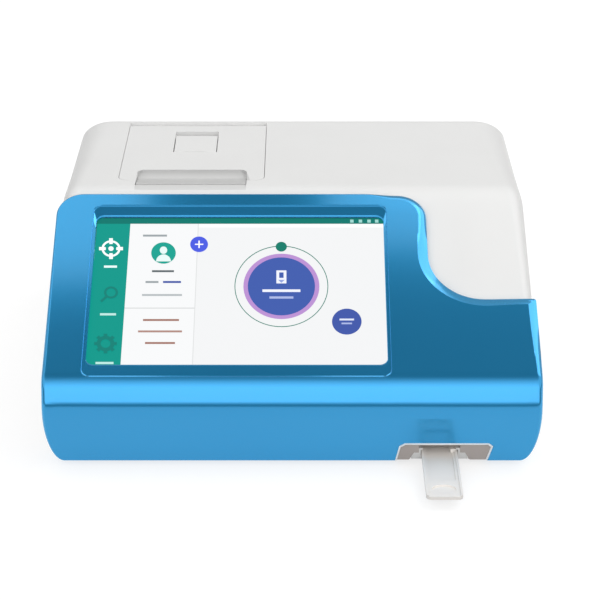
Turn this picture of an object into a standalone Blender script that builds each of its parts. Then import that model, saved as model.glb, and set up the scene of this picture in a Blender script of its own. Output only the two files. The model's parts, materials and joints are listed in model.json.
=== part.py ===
"""Benchtop immunofluorescence analyzer, in metres, +Z up.

The blue front cover with its tilted touch screen faces -Y.  The card tray runs out of
the port low on the right of the front, and the printer lid opens at the rear of the top.
Every piece is placed in the casing's own frame: X to the right, Y back from the lower
front face, Z up from the underside of the casing.
"""
from math import atan2, ceil, cos, pi, radians, sin, tan

import bmesh
import bpy
from mathutils import Matrix, Vector

# Casing
CASE_WIDTH = 0.261
CASE_DEPTH = 0.241
SHELL_TOP = 0.1034
FOOT_HEIGHT = 0.003
WALL = 0.0026
SEAM = 0.0003
OVERRUN = 0.004
SLIVER = 0.0001
BASE_HEIGHT = 0.038
SHELL_EDGE = 0.012
BOTTOM_CORNER_WIDTH = 0.0105
BOTTOM_CORNER_HEIGHT = 0.028
REAR_FOOT_EDGE = 0.004

# Front cover
LIP_HEIGHT = 0.030
BAND_DEPTH = 0.0056
BAND_HEIGHT = 0.0154
TOP_LENGTH = 0.1265
POD_RISE = 0.0012
POD_PROUD = 0.0045
COVER_STEP = 0.001
COVER_EDGE = 0.005
CREASE_EDGE = 0.008
POD_TOP_EDGE = 0.003
TOP_BLEND = 0.020
COVER_WRAP = 0.014
SHELF_WIDTH = 0.0568
POD_LEFT_CORNER = 0.0135
POD_RIGHT_CORNER = 0.015
SHELF_DEPTH = 0.052
SHELF_CURVE = 0.0275

# Touch screen, measured along the slope from the crease
GLASS_LEFT_MARGIN = 0.02255
GLASS_RIGHT_MARGIN = 0.02375
GLASS_HEADROOM = 0.0151
GLASS_THICKNESS = 0.0018
GLASS_BOTTOM = 0.0102
GLASS_LAP = 0.0014
WINDOW_CORNER = 0.0027
WINDOW_CHAMFER = 0.0014
PANEL_THICKNESS = 0.0055
BRACKET_THICKNESS = 0.0015
BRACKET_LIP = 0.007
EAR_REACH = 0.010
EAR_HALF = 0.007
SCREW_RADIUS = 0.0014
SCREW_HEAD_RADIUS = 0.0028
SCREW_HEAD = 0.0016

# Card port and tray
TRAY_INSET = 0.0531
TRAY_HALF = 0.0094
TRAY_REACH = 0.042
TRAY_LENGTH = 0.100
TRAY_TOP = 0.004
TRAY_THICKNESS = 0.0018
TRAY_RIM = 0.0007
TRAY_RIM_WIDTH = 0.0012
RUNNING = 0.0004
RACK_TOP = 0.0054
RACK_START = 0.003
RACK_WIDTH = 0.0034
CARD_LENGTH = 0.052
CARD_WIDTH = 0.0136
CARD_SINK = 0.0009
SCOOP_LENGTH = 0.0085
SCOOP_WIDTH = 0.0125
SCOOP_SINK = 0.0007
SCOOP_SETBACK = 0.0075
PORT_SHIFT = 0.0008
PORT_HALF = 0.0252
PORT_SLANT = 0.0012
PORT_HEIGHT = 0.0095
PORT_DEPTH = 0.0135
PORT_CORNER = 0.002
PORT_LIP = 0.0018
BED_HALF = 0.015
BED_FLOOR = 0.0016
BED_LENGTH = 0.112
BED_RAIL = 0.0066
BED_LIP = 0.0009
BED_FLANGE = 0.006
BED_FLANGE_THICKNESS = 0.0016
GEAR_MODULE = 0.0008
PINION_TEETH = 14
PINION_DEPTH = 0.054
PINION_BOTTOM = 0.003
PINION_HEIGHT = 0.0026
PINION_SHAFT = 0.0012
BACKLASH = 0.00012
MOTOR_RADIUS = 0.008
MOTOR_HEIGHT = 0.022
BRACKET_PLATE = 0.0015

# Optics over the tray
OPTICS_DEPTH = 0.088
OPTICS_HALF = 0.016
OPTICS_HEIGHT = 0.038
OPTICS_BORE = 0.006
LENS_RADIUS = 0.0057
LENS_EDGE = 0.0016
LENS_CROWN = 0.0013
FILTER_THICKNESS = 0.0016
LAMP_RADIUS = 0.0045
LAMP_LENGTH = 0.010
SINK_HALF = 0.010
SINK_BASE = 0.002
SINK_FINS = 6
SINK_FIN = 0.0011
SINK_FIN_REACH = 0.008
BOARD_THICKNESS = 0.0016

# Printer
LID_INSET = 0.0315
LID_MARGIN = 0.0079
LID_REACH = 0.0859
LID_CORNER = 0.005
LID_THICKNESS = 0.0024
LID_SKIRT = 0.005
LID_SKIRT_WALL = 0.0015
HINGE_SETBACK = 0.0185
HINGE_RADIUS = 0.006
HINGE_GAP = 0.0004
HINGE_PIN = 0.0015
KNUCKLE = 0.005
EXIT_MARGIN = 0.0035
TONGUE_LAP = 0.002
EXIT_BEFORE = 0.013
EXIT_BEHIND = 0.0158
EXIT_SINK = 0.0045
EXIT_CORNER = 0.0045
EXIT_FLOOR = 0.002
SLIT_BEFORE = 0.0058
SLIT = 0.0016
TEAR_THICKNESS = 0.0005
TEAR_TEETH = 26
TEAR_TOOTH = 0.0009
TAB_WIDTH = 0.0253
TAB_SETBACK = 0.0402
TAB_LENGTH = 0.0251
TAB_NOSE = 0.0017
TAB_THICKNESS = 0.0022
TAB_SINK = 0.0004
TAB_PIN = 0.0007
TAB_SLOT = 0.006
WELL_DEPTH = 0.0064
WELL_WALL = 0.0012
SPRING_WIRE = 0.00022
SPRING_RADIUS = 0.0013
SPRING_TURNS = 5
RIM_WALL = 0.0016
FLANGE_SINK = 0.0086
FLANGE_THICKNESS = 0.0018
ROLL_RADIUS = 0.024
ROLL_WIDTH = 0.0553
ROLL_CORE = 0.006
TROUGH_RADIUS = 0.0275
TROUGH_BEHIND = 0.038
TROUGH_SINK = 0.033
TROUGH_PLAY = 0.002
TROUGH_WALL = 0.0018
PLATEN_RADIUS = 0.005
PLATEN_SHAFT = 0.0015
PLATEN_PLAY = 0.0005
PLATEN_SINK = 0.0125
PLATEN_EAR = 0.0015
PLATEN_EAR_HALF = 0.0035
FINE_MODULE = 0.0005
FINE_WIDTH = 0.0024
PLATEN_TEETH = 20
IDLER_TEETH = 28
MOTOR_TEETH = 12
MOTOR_GEAR_LEAN = radians(55)
IDLER_PHASE = radians(90)
FRAME_WALL = 0.001
FRAME_BEFORE = 0.019
FRAME_BEHIND = 0.0045
FRAME_REACH = 0.0425
FRAME_SINK = 0.014
NOTCH_SINK = 0.0055
STEPPER_RADIUS = 0.009
STEPPER_LENGTH = 0.017
HEAD_THICKNESS = 0.0034
HEAD_BELOW = 0.0055
HEAD_ABOVE = 0.005
HEAD_GAP = 0.0004
TRUNNION = 0.0015
HEAD_SPRING_RADIUS = 0.0022
HEAD_SPRING_WIRE = 0.0004
HEAD_SPRING_TURNS = 4
HEAD_SPRING_SPREAD = 0.018

# Electronics and the rear
BOARD_SIDE_GAP = 0.0175
BOARD_BED_GAP = 0.0104
BOARD_FRONT = 0.060
BOARD_REAR_GAP = 0.008
BOARD_HEIGHT = 0.009
BOSS_RADIUS = 0.0035
BOARD_INSET = 0.006
PLATE_INSET = 0.0135
PLATE_SHORT = 0.004
PLATE_BOTTOM = 0.005
PLATE_TOP = 0.035
PLATE_THICKNESS = 0.0012
PLATE_LAP = 0.003
SOCKET_LENGTH = 0.019
SOCKET_WALL = 0.0009
USB_SHARE = 0.8868
LAN_SHARE = 0.717
SERIAL_SHARE = 0.5094
INLET_SHARE = 0.3082
SWITCH_SHARE = 0.1195
SWITCH_HEIGHT = 0.0205
ROCKER_TIP = radians(9)
SPEAKER_RADIUS = 0.016
SPEAKER_HEIGHT = 0.009
SPEAKER_INSET = 0.0425
SPEAKER_DEPTH = 0.165
POST_RADIUS = 0.0045
COUNTERBORE = 0.0045
POST_INSET = 0.012
POST_FRONT = 0.130
POST_REAR_GAP = 0.015
FOOT_RADIUS = 0.007
FOOT_INSET = 0.0255
FOOT_FRONT = 0.030
FOOT_REAR_GAP = 0.026
VENT_COUNT = 7
VENT_WIDTH = 0.0025
VENT_LENGTH = 0.028
VENT_PITCH = 0.006
VENT_INSET = 0.0605
VENT_DEPTH = 0.150

# Worked out from the sizes above
FRONT_Y = (TRAY_REACH - CASE_DEPTH) / 2
CREASE_HEIGHT = LIP_HEIGHT + BAND_HEIGHT
POD_TOP = SHELL_TOP + POD_RISE
POD_DEPTH = CASE_DEPTH - TOP_LENGTH
SLOPE = atan2(POD_TOP - CREASE_HEIGHT, POD_DEPTH - BAND_DEPTH)
SLOPE_LENGTH = (POD_TOP - CREASE_HEIGHT) / sin(SLOPE)
RIGHT = CASE_WIDTH / 2
LEFT = -RIGHT
POD_RIGHT = RIGHT - SHELF_WIDTH
GLASS_LEFT = LEFT + GLASS_LEFT_MARGIN
GLASS_WIDTH = POD_RIGHT - GLASS_RIGHT_MARGIN - GLASS_LEFT
GLASS_CENTRE = GLASS_LEFT + GLASS_WIDTH / 2
GLASS_HEIGHT = SLOPE_LENGTH - GLASS_BOTTOM - GLASS_HEADROOM
TRAY_CENTRE = RIGHT - TRAY_INSET
PORT_CENTRE = TRAY_CENTRE + PORT_SHIFT
PLATEN_HALF = (ROLL_WIDTH + PLATEN_PLAY) / 2
EXIT_WIDTH = (PLATEN_HALF + EXIT_MARGIN) * 2
TONGUE_WIDTH = EXIT_WIDTH + TONGUE_LAP * 2
LID_WIDTH = TONGUE_WIDTH + LID_MARGIN * 2
LID_CENTRE = LEFT + LID_INSET + LID_WIDTH / 2
HINGE_DEPTH = CASE_DEPTH - HINGE_SETBACK
LID_FRONT = HINGE_DEPTH - LID_REACH
PLATEN_DEPTH = LID_FRONT
EXIT_FRONT = PLATEN_DEPTH - EXIT_BEFORE
EXIT_REAR = PLATEN_DEPTH + EXIT_BEHIND
SLIT_FRONT = PLATEN_DEPTH - SLIT_BEFORE
TAB_FRONT = HINGE_DEPTH - TAB_SETBACK
TAB_REAR = TAB_FRONT + TAB_LENGTH
FLANGE_TOP = SHELL_TOP - FLANGE_SINK
TROUGH_DEPTH = PLATEN_DEPTH + TROUGH_BEHIND
TROUGH_HEIGHT = SHELL_TOP - TROUGH_SINK
PLATEN_HEIGHT = SHELL_TOP - PLATEN_SINK
FRAME_FRONT = PLATEN_DEPTH - FRAME_BEFORE
FRAME_REAR = PLATEN_DEPTH + FRAME_BEHIND
FRAME_BOTTOM = SHELL_TOP - FRAME_REACH
FRAME_TOP = SHELL_TOP - FRAME_SINK
FRAME_NOTCH = FRAME_TOP - NOTCH_SINK
HEAD_BOTTOM = PLATEN_HEIGHT - HEAD_BELOW
HEAD_TOP = PLATEN_HEIGHT + HEAD_ABOVE
BOARD_LEFT = LEFT + BOARD_SIDE_GAP
BOARD_RIGHT = TRAY_CENTRE - BED_HALF - BED_FLANGE - BOARD_BED_GAP
BOARD_REAR = CASE_DEPTH - BOARD_REAR_GAP
PLATE_LEFT = LEFT + PLATE_INSET
PLATE_RIGHT = BOARD_RIGHT - PLATE_SHORT
PLATE_WIDTH = PLATE_RIGHT - PLATE_LEFT
USB_CENTRE = PLATE_LEFT + PLATE_WIDTH * USB_SHARE
LAN_CENTRE = PLATE_LEFT + PLATE_WIDTH * LAN_SHARE
SERIAL_CENTRE = PLATE_LEFT + PLATE_WIDTH * SERIAL_SHARE
INLET_CENTRE = PLATE_LEFT + PLATE_WIDTH * INLET_SHARE
SWITCH_CENTRE = PLATE_LEFT + PLATE_WIDTH * SWITCH_SHARE
PORT_FRONT = CASE_DEPTH - SOCKET_LENGTH
SPEAKER_CENTRE = RIGHT - SPEAKER_INSET
POST_CENTRE = RIGHT - POST_INSET
POST_REAR = CASE_DEPTH - POST_REAR_GAP
FOOT_CENTRE = RIGHT - FOOT_INSET
FOOT_REAR = CASE_DEPTH - FOOT_REAR_GAP
VENT_CENTRE = LEFT + VENT_INSET
HINGE_HEIGHT = SHELL_TOP - HINGE_RADIUS
EXIT_HEIGHT = SHELL_TOP - EXIT_SINK
SLIT_REAR = SLIT_FRONT + SLIT
PINION_PITCH = GEAR_MODULE * PINION_TEETH / 2
RACK_PITCH_LINE = TRAY_CENTRE + TRAY_HALF - GEAR_MODULE
PINION_CENTRE = RACK_PITCH_LINE + PINION_PITCH + BACKLASH
BED_PLATE_TOP = BED_RAIL + SEAM + BRACKET_PLATE
OPTICS_BASE = BED_RAIL + SEAM
OPTICS_TOP = OPTICS_BASE + OPTICS_HEIGHT
PLATEN_PITCH = FINE_MODULE * PLATEN_TEETH / 2
IDLER_PITCH = FINE_MODULE * IDLER_TEETH / 2
MOTOR_PITCH = FINE_MODULE * MOTOR_TEETH / 2
IDLER_HEIGHT = PLATEN_HEIGHT - PLATEN_PITCH - IDLER_PITCH - BACKLASH
MOTOR_REACH = IDLER_PITCH + MOTOR_PITCH + BACKLASH
MOTOR_DEPTH = PLATEN_DEPTH - MOTOR_REACH * sin(MOTOR_GEAR_LEAN)
MOTOR_AXIS_HEIGHT = IDLER_HEIGHT - MOTOR_REACH * cos(MOTOR_GEAR_LEAN)
FRAME_INNER = PLATEN_HALF + SEAM + PLATEN_EAR - FRAME_WALL / 2
GEAR_LEFT = FRAME_INNER + FRAME_WALL + SEAM
ARC_STEP = radians(16)
ROUND_SIDES = 20
SMALL_SIDES = 12

COLLECTION = "immunofluorescence_analyzer"
FINISHES = {
    "blue_gloss": ((0.045, 0.31, 0.60), 0.28, 0.0),
    "white_plastic": ((0.80, 0.80, 0.79), 0.42, 0.0),
    "grey_plastic": ((0.33, 0.31, 0.29), 0.50, 0.0),
    "tray_plastic": ((0.70, 0.70, 0.69), 0.45, 0.0),
    "dark_plastic": ((0.03, 0.03, 0.032), 0.50, 0.0),
    "screen_glass": ((0.55, 0.60, 0.62), 0.10, 0.0),
    "steel": ((0.56, 0.57, 0.58), 0.32, 1.0),
    "brass": ((0.72, 0.55, 0.26), 0.30, 1.0),
    "rubber": ((0.02, 0.02, 0.02), 0.80, 0.0),
    "board": ((0.02, 0.16, 0.07), 0.45, 0.0),
    "aluminium": ((0.62, 0.63, 0.64), 0.38, 1.0),
    "optic": ((0.75, 0.85, 0.90), 0.05, 0.0),
    "paper": ((0.92, 0.92, 0.90), 0.85, 0.0),
    "nylon": ((0.86, 0.85, 0.80), 0.50, 0.0),
}


class Bench:
    """The collections, the casing frame and the materials that every piece uses."""

    def __init__(self):
        for old in list(bpy.data.objects):
            bpy.data.objects.remove(old, do_unlink=True)
        self.parts = self.collection(COLLECTION)
        self.tools = self.collection("cutters")
        self.frame = bpy.data.objects.new("casing_frame", None)
        self.frame.location = (0, FRONT_Y, FOOT_HEIGHT)
        self.parts.objects.link(self.frame)
        self.materials = {name: self.material(name, *look) for name, look in FINISHES.items()}

    @staticmethod
    def collection(name):
        made = bpy.data.collections.new(name)
        bpy.context.scene.collection.children.link(made)
        return made

    @staticmethod
    def material(name, colour, roughness, metallic):
        made = bpy.data.materials.new(name)
        made.use_nodes = True
        shader = made.node_tree.nodes["Principled BSDF"]
        shader.inputs["Base Color"].default_value = (*colour, 1)
        shader.inputs["Roughness"].default_value = roughness
        shader.inputs["Metallic"].default_value = metallic
        return made


bench = Bench()


def add_object(name, mesh, finish):
    """Link a mesh in the casing frame: with a finish it is a piece, without one a cutter."""
    made = bpy.data.objects.new(name, mesh)
    made.parent = bench.frame
    if finish:
        bench.parts.objects.link(made)
        mesh.materials.append(bench.materials[finish])
    else:
        bench.tools.objects.link(made)
        made.hide_render = True
        made.display_type = "WIRE"
    return made


def mesh_from(name, build):
    """A mesh filled by a function that is given its bmesh."""
    mesh = bpy.data.meshes.new(name)
    form = bmesh.new()
    build(form)
    bmesh.ops.recalc_face_normals(form, faces=form.faces)
    form.to_mesh(mesh)
    form.free()
    return mesh


def block(name, x, y, z, finish=None):
    """A box between three pairs of limits."""
    centre = [(low + high) / 2 for low, high in (x, y, z)]
    size = [high - low for low, high in (x, y, z)]

    def build(form):
        place = Matrix.Translation(centre) @ Matrix.Diagonal((*size, 1))
        bmesh.ops.create_cube(form, size=1, matrix=place)

    return add_object(name, mesh_from(name, build), finish)


TURNS = {"x": Matrix.Rotation(pi / 2, 4, "Y"), "y": Matrix.Rotation(-pi / 2, 4, "X"), "z": Matrix()}


def rod(name, axis, start, end, centre, radius, finish=None, sides=ROUND_SIDES, top=None):
    """A cylinder or cone along an axis from start to end, round the other two coordinates."""
    middle = (start + end) / 2
    place = {"x": (middle, *centre), "y": (centre[0], middle, centre[1]), "z": (*centre, middle)}

    def build(form):
        bmesh.ops.create_cone(
            form, cap_ends=True, segments=sides, radius1=radius,
            radius2=radius if top is None else top, depth=end - start,
            matrix=Matrix.Translation(place[axis]) @ TURNS[axis])

    made = add_object(name, mesh_from(name, build), finish)
    made.data.shade_smooth()
    made.data.set_sharp_from_angle(angle=radians(35))
    return made


VIEWS = {
    "plan": Matrix(),
    "front": Matrix(((1, 0, 0, 0), (0, 0, -1, 0), (0, 1, 0, 0), (0, 0, 0, 1))),
    "side": Matrix(((0, 0, 1, 0), (1, 0, 0, 0), (0, 1, 0, 0), (0, 0, 0, 1))),
}


def mesh_phase(phase, teeth, direction, mate_teeth):
    """The phase that puts a mate's tooth in the gap that a gear has towards the mate."""
    beyond_gap = ((direction - phase) * teeth / (2 * pi) - 0.5) % 1
    return direction + pi + beyond_gap * 2 * pi / mate_teeth


def prism(name, view, outline, low, high, finish=None, holes=()):
    """A flat outline seen from above, the front or the side, given a thickness.

    The outline's points are (x, y), (x, z) or (y, z), and low and high are the limits
    along the third axis.
    """
    curve = bpy.data.curves.new(name, "CURVE")
    curve.dimensions = "2D"
    curve.fill_mode = "BOTH"
    curve.extrude = (high - low) / 2
    for path in (outline, *holes):
        spline = curve.splines.new("POLY")
        spline.points.add(len(path) - 1)
        for point, (across, up) in zip(spline.points, path):
            point.co = (across, up, 0, 1)
        spline.use_cyclic_u = True
    drawn = bpy.data.objects.new(name + "_outline", curve)
    bench.tools.objects.link(drawn)
    middle = (low + high) / 2
    turn = VIEWS[view]
    shift = turn @ Vector((0, 0, middle)) * (-1 if view == "front" else 1)
    evaluated = drawn.evaluated_get(bpy.context.evaluated_depsgraph_get())
    mesh = bpy.data.meshes.new_from_object(evaluated)
    mesh.name = name
    mesh.transform(Matrix.Translation(shift) @ turn)
    bpy.data.objects.remove(drawn, do_unlink=True)
    form = bmesh.new()
    form.from_mesh(mesh)
    bmesh.ops.remove_doubles(form, verts=form.verts, dist=SEAM / 100)
    bmesh.ops.dissolve_limit(form, angle_limit=radians(0.1), verts=form.verts, edges=form.edges)
    bmesh.ops.recalc_face_normals(form, faces=form.faces)
    form.to_mesh(mesh)
    form.free()
    return add_object(name, mesh, finish)


# Moulded shells with slanted faces, which the exact solver leaves open
MOULDED = ("base_shell", "base_room", "upper_cover", "upper_room", "front_cover", "cover_room",
           "printer_cover")


def boolean(target, operation, *others):
    """Cut, join or intersect a piece with others by live Boolean modifiers."""
    for other in others:
        modifier = target.modifiers.new(other.name, "BOOLEAN")
        modifier.operation = operation
        modifier.object = other
        modifier.solver = "MANIFOLD" if target.name in MOULDED else "EXACT"
    return target


def cut(target, *cutters):
    return boolean(target, "DIFFERENCE", *cutters)


def join(target, *added):
    return boolean(target, "UNION", *added)


def keep_inside(target, *limits):
    return boolean(target, "INTERSECT", *limits)


def hang_on(piece, pivot):
    """Hang a moving piece on an empty at its joint, its mesh still drawn in the casing frame."""
    joint = bpy.data.objects.new(piece.name + "_joint", None)
    joint.parent = bench.frame
    joint.location = pivot
    bench.parts.objects.link(joint)
    piece.parent = joint
    piece.location = -Vector(pivot)
    return piece


def box_outline(left, right, bottom, top):
    """The four corners of a rectangle, counter-clockwise."""
    return [Vector((left, bottom)), Vector((right, bottom)), Vector((right, top)), Vector((left, top))]


def moved_edges(corners, distances):
    """A counter-clockwise outline with each edge moved inwards by its own distance."""
    lines = []
    for index, start in enumerate(corners):
        along = (corners[(index + 1) % len(corners)] - start).normalized()
        inward = Vector((-along.y, along.x))
        lines.append((start + inward * distances[index], along))
    moved = []
    for index, (start, along) in enumerate(lines):
        before, before_along = lines[index - 1]
        offset = start - before
        reach = (offset.x * along.y - offset.y * along.x) / before_along.cross(along)
        moved.append(before + before_along * reach)
    return moved


def rounded(corners, radii):
    """An outline whose corners are arcs of the given radii, or sharp where the radius is 0."""
    path = []
    for index, (corner, radius) in enumerate(zip(corners, radii)):
        to_before = (corners[index - 1] - corner).normalized()
        to_after = (corners[(index + 1) % len(corners)] - corner).normalized()
        if radius <= 0:
            path.append(corner)
            continue
        turn = pi - to_before.angle(to_after)
        back = radius * tan(turn / 2)
        centre = corner + (to_before + to_after).normalized() * radius / cos(turn / 2)
        start = corner + to_before * back - centre
        sense = 1 if to_after.cross(to_before) > 0 else -1
        steps = max(2, ceil(turn / ARC_STEP))
        for step in range(steps + 1):
            angle = sense * turn * step / steps
            path.append(centre + Matrix.Rotation(angle, 2) @ start)
    return path


def ring(centre, radius, sides, phase=0.0):
    """The points of a circle."""
    return [Vector(centre) + radius * Vector((cos(phase + 2 * pi * step / sides),
                                              sin(phase + 2 * pi * step / sides)))
            for step in range(sides)]


def gear_outline(centre, module, teeth, phase=0.0):
    """A spur gear: four points a tooth, narrowed a little for backlash."""
    tooth_shares = ((-0.29, -1.2), (-0.125, 1.0), (0.125, 1.0), (0.29, -1.2))
    pitch = module * teeth / 2
    points = []
    for tooth in range(teeth):
        for along_share, out_share in tooth_shares:
            angle = phase + 2 * pi * (tooth + along_share) / teeth
            reach = pitch + module * out_share
            points.append(Vector(centre) + reach * Vector((cos(angle), sin(angle))))
    return points


# Casing skins

class Skin:
    """One skin of the casing, its faces moved in from the front cover's outer skin."""

    def __init__(self, front, side, top, base, back, edge):
        self.front, self.side, self.top = front, side, top
        self.base, self.back, self.edge = base, back, edge

    def deeper(self, wall):
        """The skin a wall thickness further in."""
        return Skin(self.front + wall, self.side + wall, self.top + wall,
                    self.base + wall, self.back + wall, self.edge - wall)

    def half_width(self):
        return CASE_WIDTH / 2 - self.side


COVER_SKIN = Skin(0, 0, 0, 0, 0, COVER_EDGE)
SHELL_SKIN = Skin(POD_PROUD, COVER_STEP, POD_RISE, 0, 0, SHELL_EDGE)


def slope_depth(height, below=0.0):
    """How far back the slope, or a plane below it, reaches a height."""
    return BAND_DEPTH + (height - CREASE_HEIGHT + below / cos(SLOPE)) / tan(SLOPE)


def side_corners():
    """The casing's side view: bottom, back, top, slope, band and lip edges."""
    return [Vector((0, 0)), Vector((CASE_DEPTH, 0)), Vector((CASE_DEPTH, POD_TOP)),
            Vector((slope_depth(POD_TOP), POD_TOP)), Vector((BAND_DEPTH, CREASE_HEIGHT)),
            Vector((0, LIP_HEIGHT))]


def casing_body(name, skin, top_blend, finish=None):
    """The casing inside one skin: a side view narrowed by a front, a plan and a slope view."""
    half = skin.half_width()
    corners = moved_edges(side_corners(), (skin.base, skin.back, skin.top,
                                           skin.front, skin.front, skin.front))
    radii = (0, REAR_FOOT_EDGE - skin.base, skin.edge, top_blend, CREASE_EDGE, CREASE_EDGE)
    body = prism(name, "side", rounded(corners, radii), -half, half, finish)

    across = BOTTOM_CORNER_WIDTH - skin.side
    up = BOTTOM_CORNER_HEIGHT - skin.base
    steps = ceil(pi / 2 / ARC_STEP)
    low_right = [Vector((half - across + across * sin(pi / 2 * step / steps),
                         skin.base + up - up * cos(pi / 2 * step / steps)))
                 for step in range(steps + 1)]
    low_left = [Vector((-point.x, point.y)) for point in reversed(low_right)]
    height = POD_TOP - skin.top
    high = rounded(box_outline(-half, half, 0, height), (0, 0, skin.edge, skin.edge))[2:]
    front_view = prism(name + "_front_view", "front", low_right + high + low_left,
                       -OVERRUN, CASE_DEPTH + OVERRUN)

    plan = rounded(box_outline(-half, half, skin.front, CASE_DEPTH - skin.back), (skin.edge,) * 4)
    plan_view = prism(name + "_plan_view", "plan", plan, -OVERRUN, POD_TOP + OVERRUN)

    slope = prism(name + "_slope_view", "front",
                  rounded(box_outline(-half, half, -SHELL_TOP * 2, SLIVER - skin.front),
                          (0, 0, skin.edge, skin.edge)),
                  -CASE_DEPTH, CASE_DEPTH * 2)
    slope.rotation_euler = (SLOPE, 0, 0)
    slope.location = (0, BAND_DEPTH, CREASE_HEIGHT)
    return keep_inside(body, front_view, plan_view, slope)


def cover_zone(name, grow):
    """The part of the casing that the front cover takes: a plan outline and a front layer."""
    right, shelf, back = POD_RIGHT + grow, SHELF_DEPTH + grow, slope_depth(POD_TOP) + grow
    far = CASE_WIDTH / 2 + OVERRUN
    left = -CASE_WIDTH / 2 - min(grow, 0) - max(grow, 0)
    corner = back - POD_LEFT_CORNER * 2
    corners = [Vector((-far, -OVERRUN)), Vector((far, -OVERRUN)), Vector((far, shelf)),
               Vector((right, shelf)), Vector((right, back)), Vector((left, back)),
               Vector((left, corner)), Vector((-far, corner))]
    radii = (0, 0, 0, SHELF_CURVE - grow, POD_RIGHT_CORNER + grow, POD_LEFT_CORNER + grow, 0, 0)
    plan = prism(name + "_plan", "plan", rounded(corners, radii), -OVERRUN, POD_TOP + OVERRUN)

    wrap = COVER_WRAP + grow
    inner = moved_edges(side_corners(), (0, 0, 0, wrap, wrap, wrap))
    reach = slope_depth(POD_TOP) + OVERRUN * 2
    foot, crease, lip = Vector((wrap, -OVERRUN)), inner[4], inner[5]
    high = Vector((reach, crease.y + (reach - crease.x) * tan(SLOPE)))
    roof = POD_TOP + OVERRUN
    outline = [Vector((-OVERRUN, -OVERRUN)), foot, lip, crease, high, Vector((reach, roof)),
               Vector((-OVERRUN, roof))]
    layer = prism(name + "_layer", "side", outline, -far, far)
    return keep_inside(plan, layer)


def inner_plan(name):
    """The plan outline of the room behind the front cover's walls."""
    far = CASE_WIDTH / 2 + OVERRUN
    right, shelf, back = POD_RIGHT - WALL, SHELF_DEPTH - WALL, slope_depth(POD_TOP) - WALL
    corners = [Vector((-far, -OVERRUN)), Vector((far, -OVERRUN)), Vector((far, shelf)),
               Vector((right, shelf)), Vector((right, back)), Vector((-far, back))]
    radii = (0, 0, 0, SHELF_CURVE + WALL, POD_RIGHT_CORNER - WALL, 0)
    return prism(name, "plan", rounded(corners, radii), -OVERRUN, POD_TOP + OVERRUN)


def on_slope(piece, across=0.0, up=0.0, out=0.0):
    """Lay a piece on the slope: X across, Y up the slope from the crease, Z outwards."""
    place = Matrix.Translation((0, BAND_DEPTH, CREASE_HEIGHT)) @ Matrix.Rotation(SLOPE, 4, "X")
    piece.data.transform(place @ Matrix.Translation((across, up, out)))
    return piece


def glass_outline(grow, corner):
    """The touch glass or its window on the slope."""
    half = GLASS_WIDTH / 2 + grow
    return rounded(box_outline(GLASS_CENTRE - half, GLASS_CENTRE + half, GLASS_BOTTOM - grow,
                               GLASS_BOTTOM + GLASS_HEIGHT + grow), (corner,) * 4)


def display_ears():
    """The centres of the four display fixings on the slope."""
    half = GLASS_WIDTH / 2 + GLASS_LAP + EAR_REACH / 2
    rise = GLASS_HEIGHT / 4
    middle = GLASS_BOTTOM + GLASS_HEIGHT / 2
    return [(GLASS_CENTRE + side * half, middle + level * rise)
            for side in (-1, 1) for level in (-1, 1)]


def port_outline(grow):
    """The card port in the front face, a little wider at the top."""
    half, slant = PORT_HALF + grow, PORT_SLANT
    corners = [Vector((PORT_CENTRE - half + slant, -OVERRUN)), Vector((PORT_CENTRE + half - slant, -OVERRUN)),
               Vector((PORT_CENTRE + half, PORT_HEIGHT + grow)),
               Vector((PORT_CENTRE - half, PORT_HEIGHT + grow))]
    return rounded(corners, (0, 0, PORT_CORNER + grow, PORT_CORNER + grow))


def front_cover():
    """The blue cover: lower front, band, tilted pod and the shelf on the right."""
    cover = casing_body("front_cover", COVER_SKIN, POD_TOP_EDGE, "blue_gloss")
    keep_inside(cover, cover_zone("cover_zone", 0.0))
    room = casing_body("cover_room", COVER_SKIN.deeper(WALL), 0)
    keep_inside(room, inner_plan("cover_room_plan"))
    cut(cover, room)
    boss_bottom = -(WALL + SEAM * 2 + GLASS_THICKNESS + PANEL_THICKNESS)
    for number, (across, up) in enumerate(display_ears()):
        boss = rod(f"display_boss_{number}", "z", boss_bottom, -WALL / 2, (across, up), BOSS_RADIUS,
                   sides=SMALL_SIDES)
        join(cover, on_slope(boss))
        hole = rod(f"display_boss_hole_{number}", "z", boss_bottom - OVERRUN, -WALL * 1.5,
                   (across, up), SCREW_RADIUS + SEAM, sides=SMALL_SIDES)
        cut(cover, on_slope(hole))
    window = prism("window", "plan", glass_outline(0, WINDOW_CORNER), -WALL * 2, OVERRUN)
    chamfer = prism("window_chamfer", "plan", glass_outline(WINDOW_CHAMFER, WINDOW_CORNER),
                    -WINDOW_CHAMFER / 2, OVERRUN)
    mouth = prism("port_mouth", "front", port_outline(SEAM), -OVERRUN, COVER_WRAP + OVERRUN)
    return cut(cover, on_slope(window), on_slope(chamfer), mouth)


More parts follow.
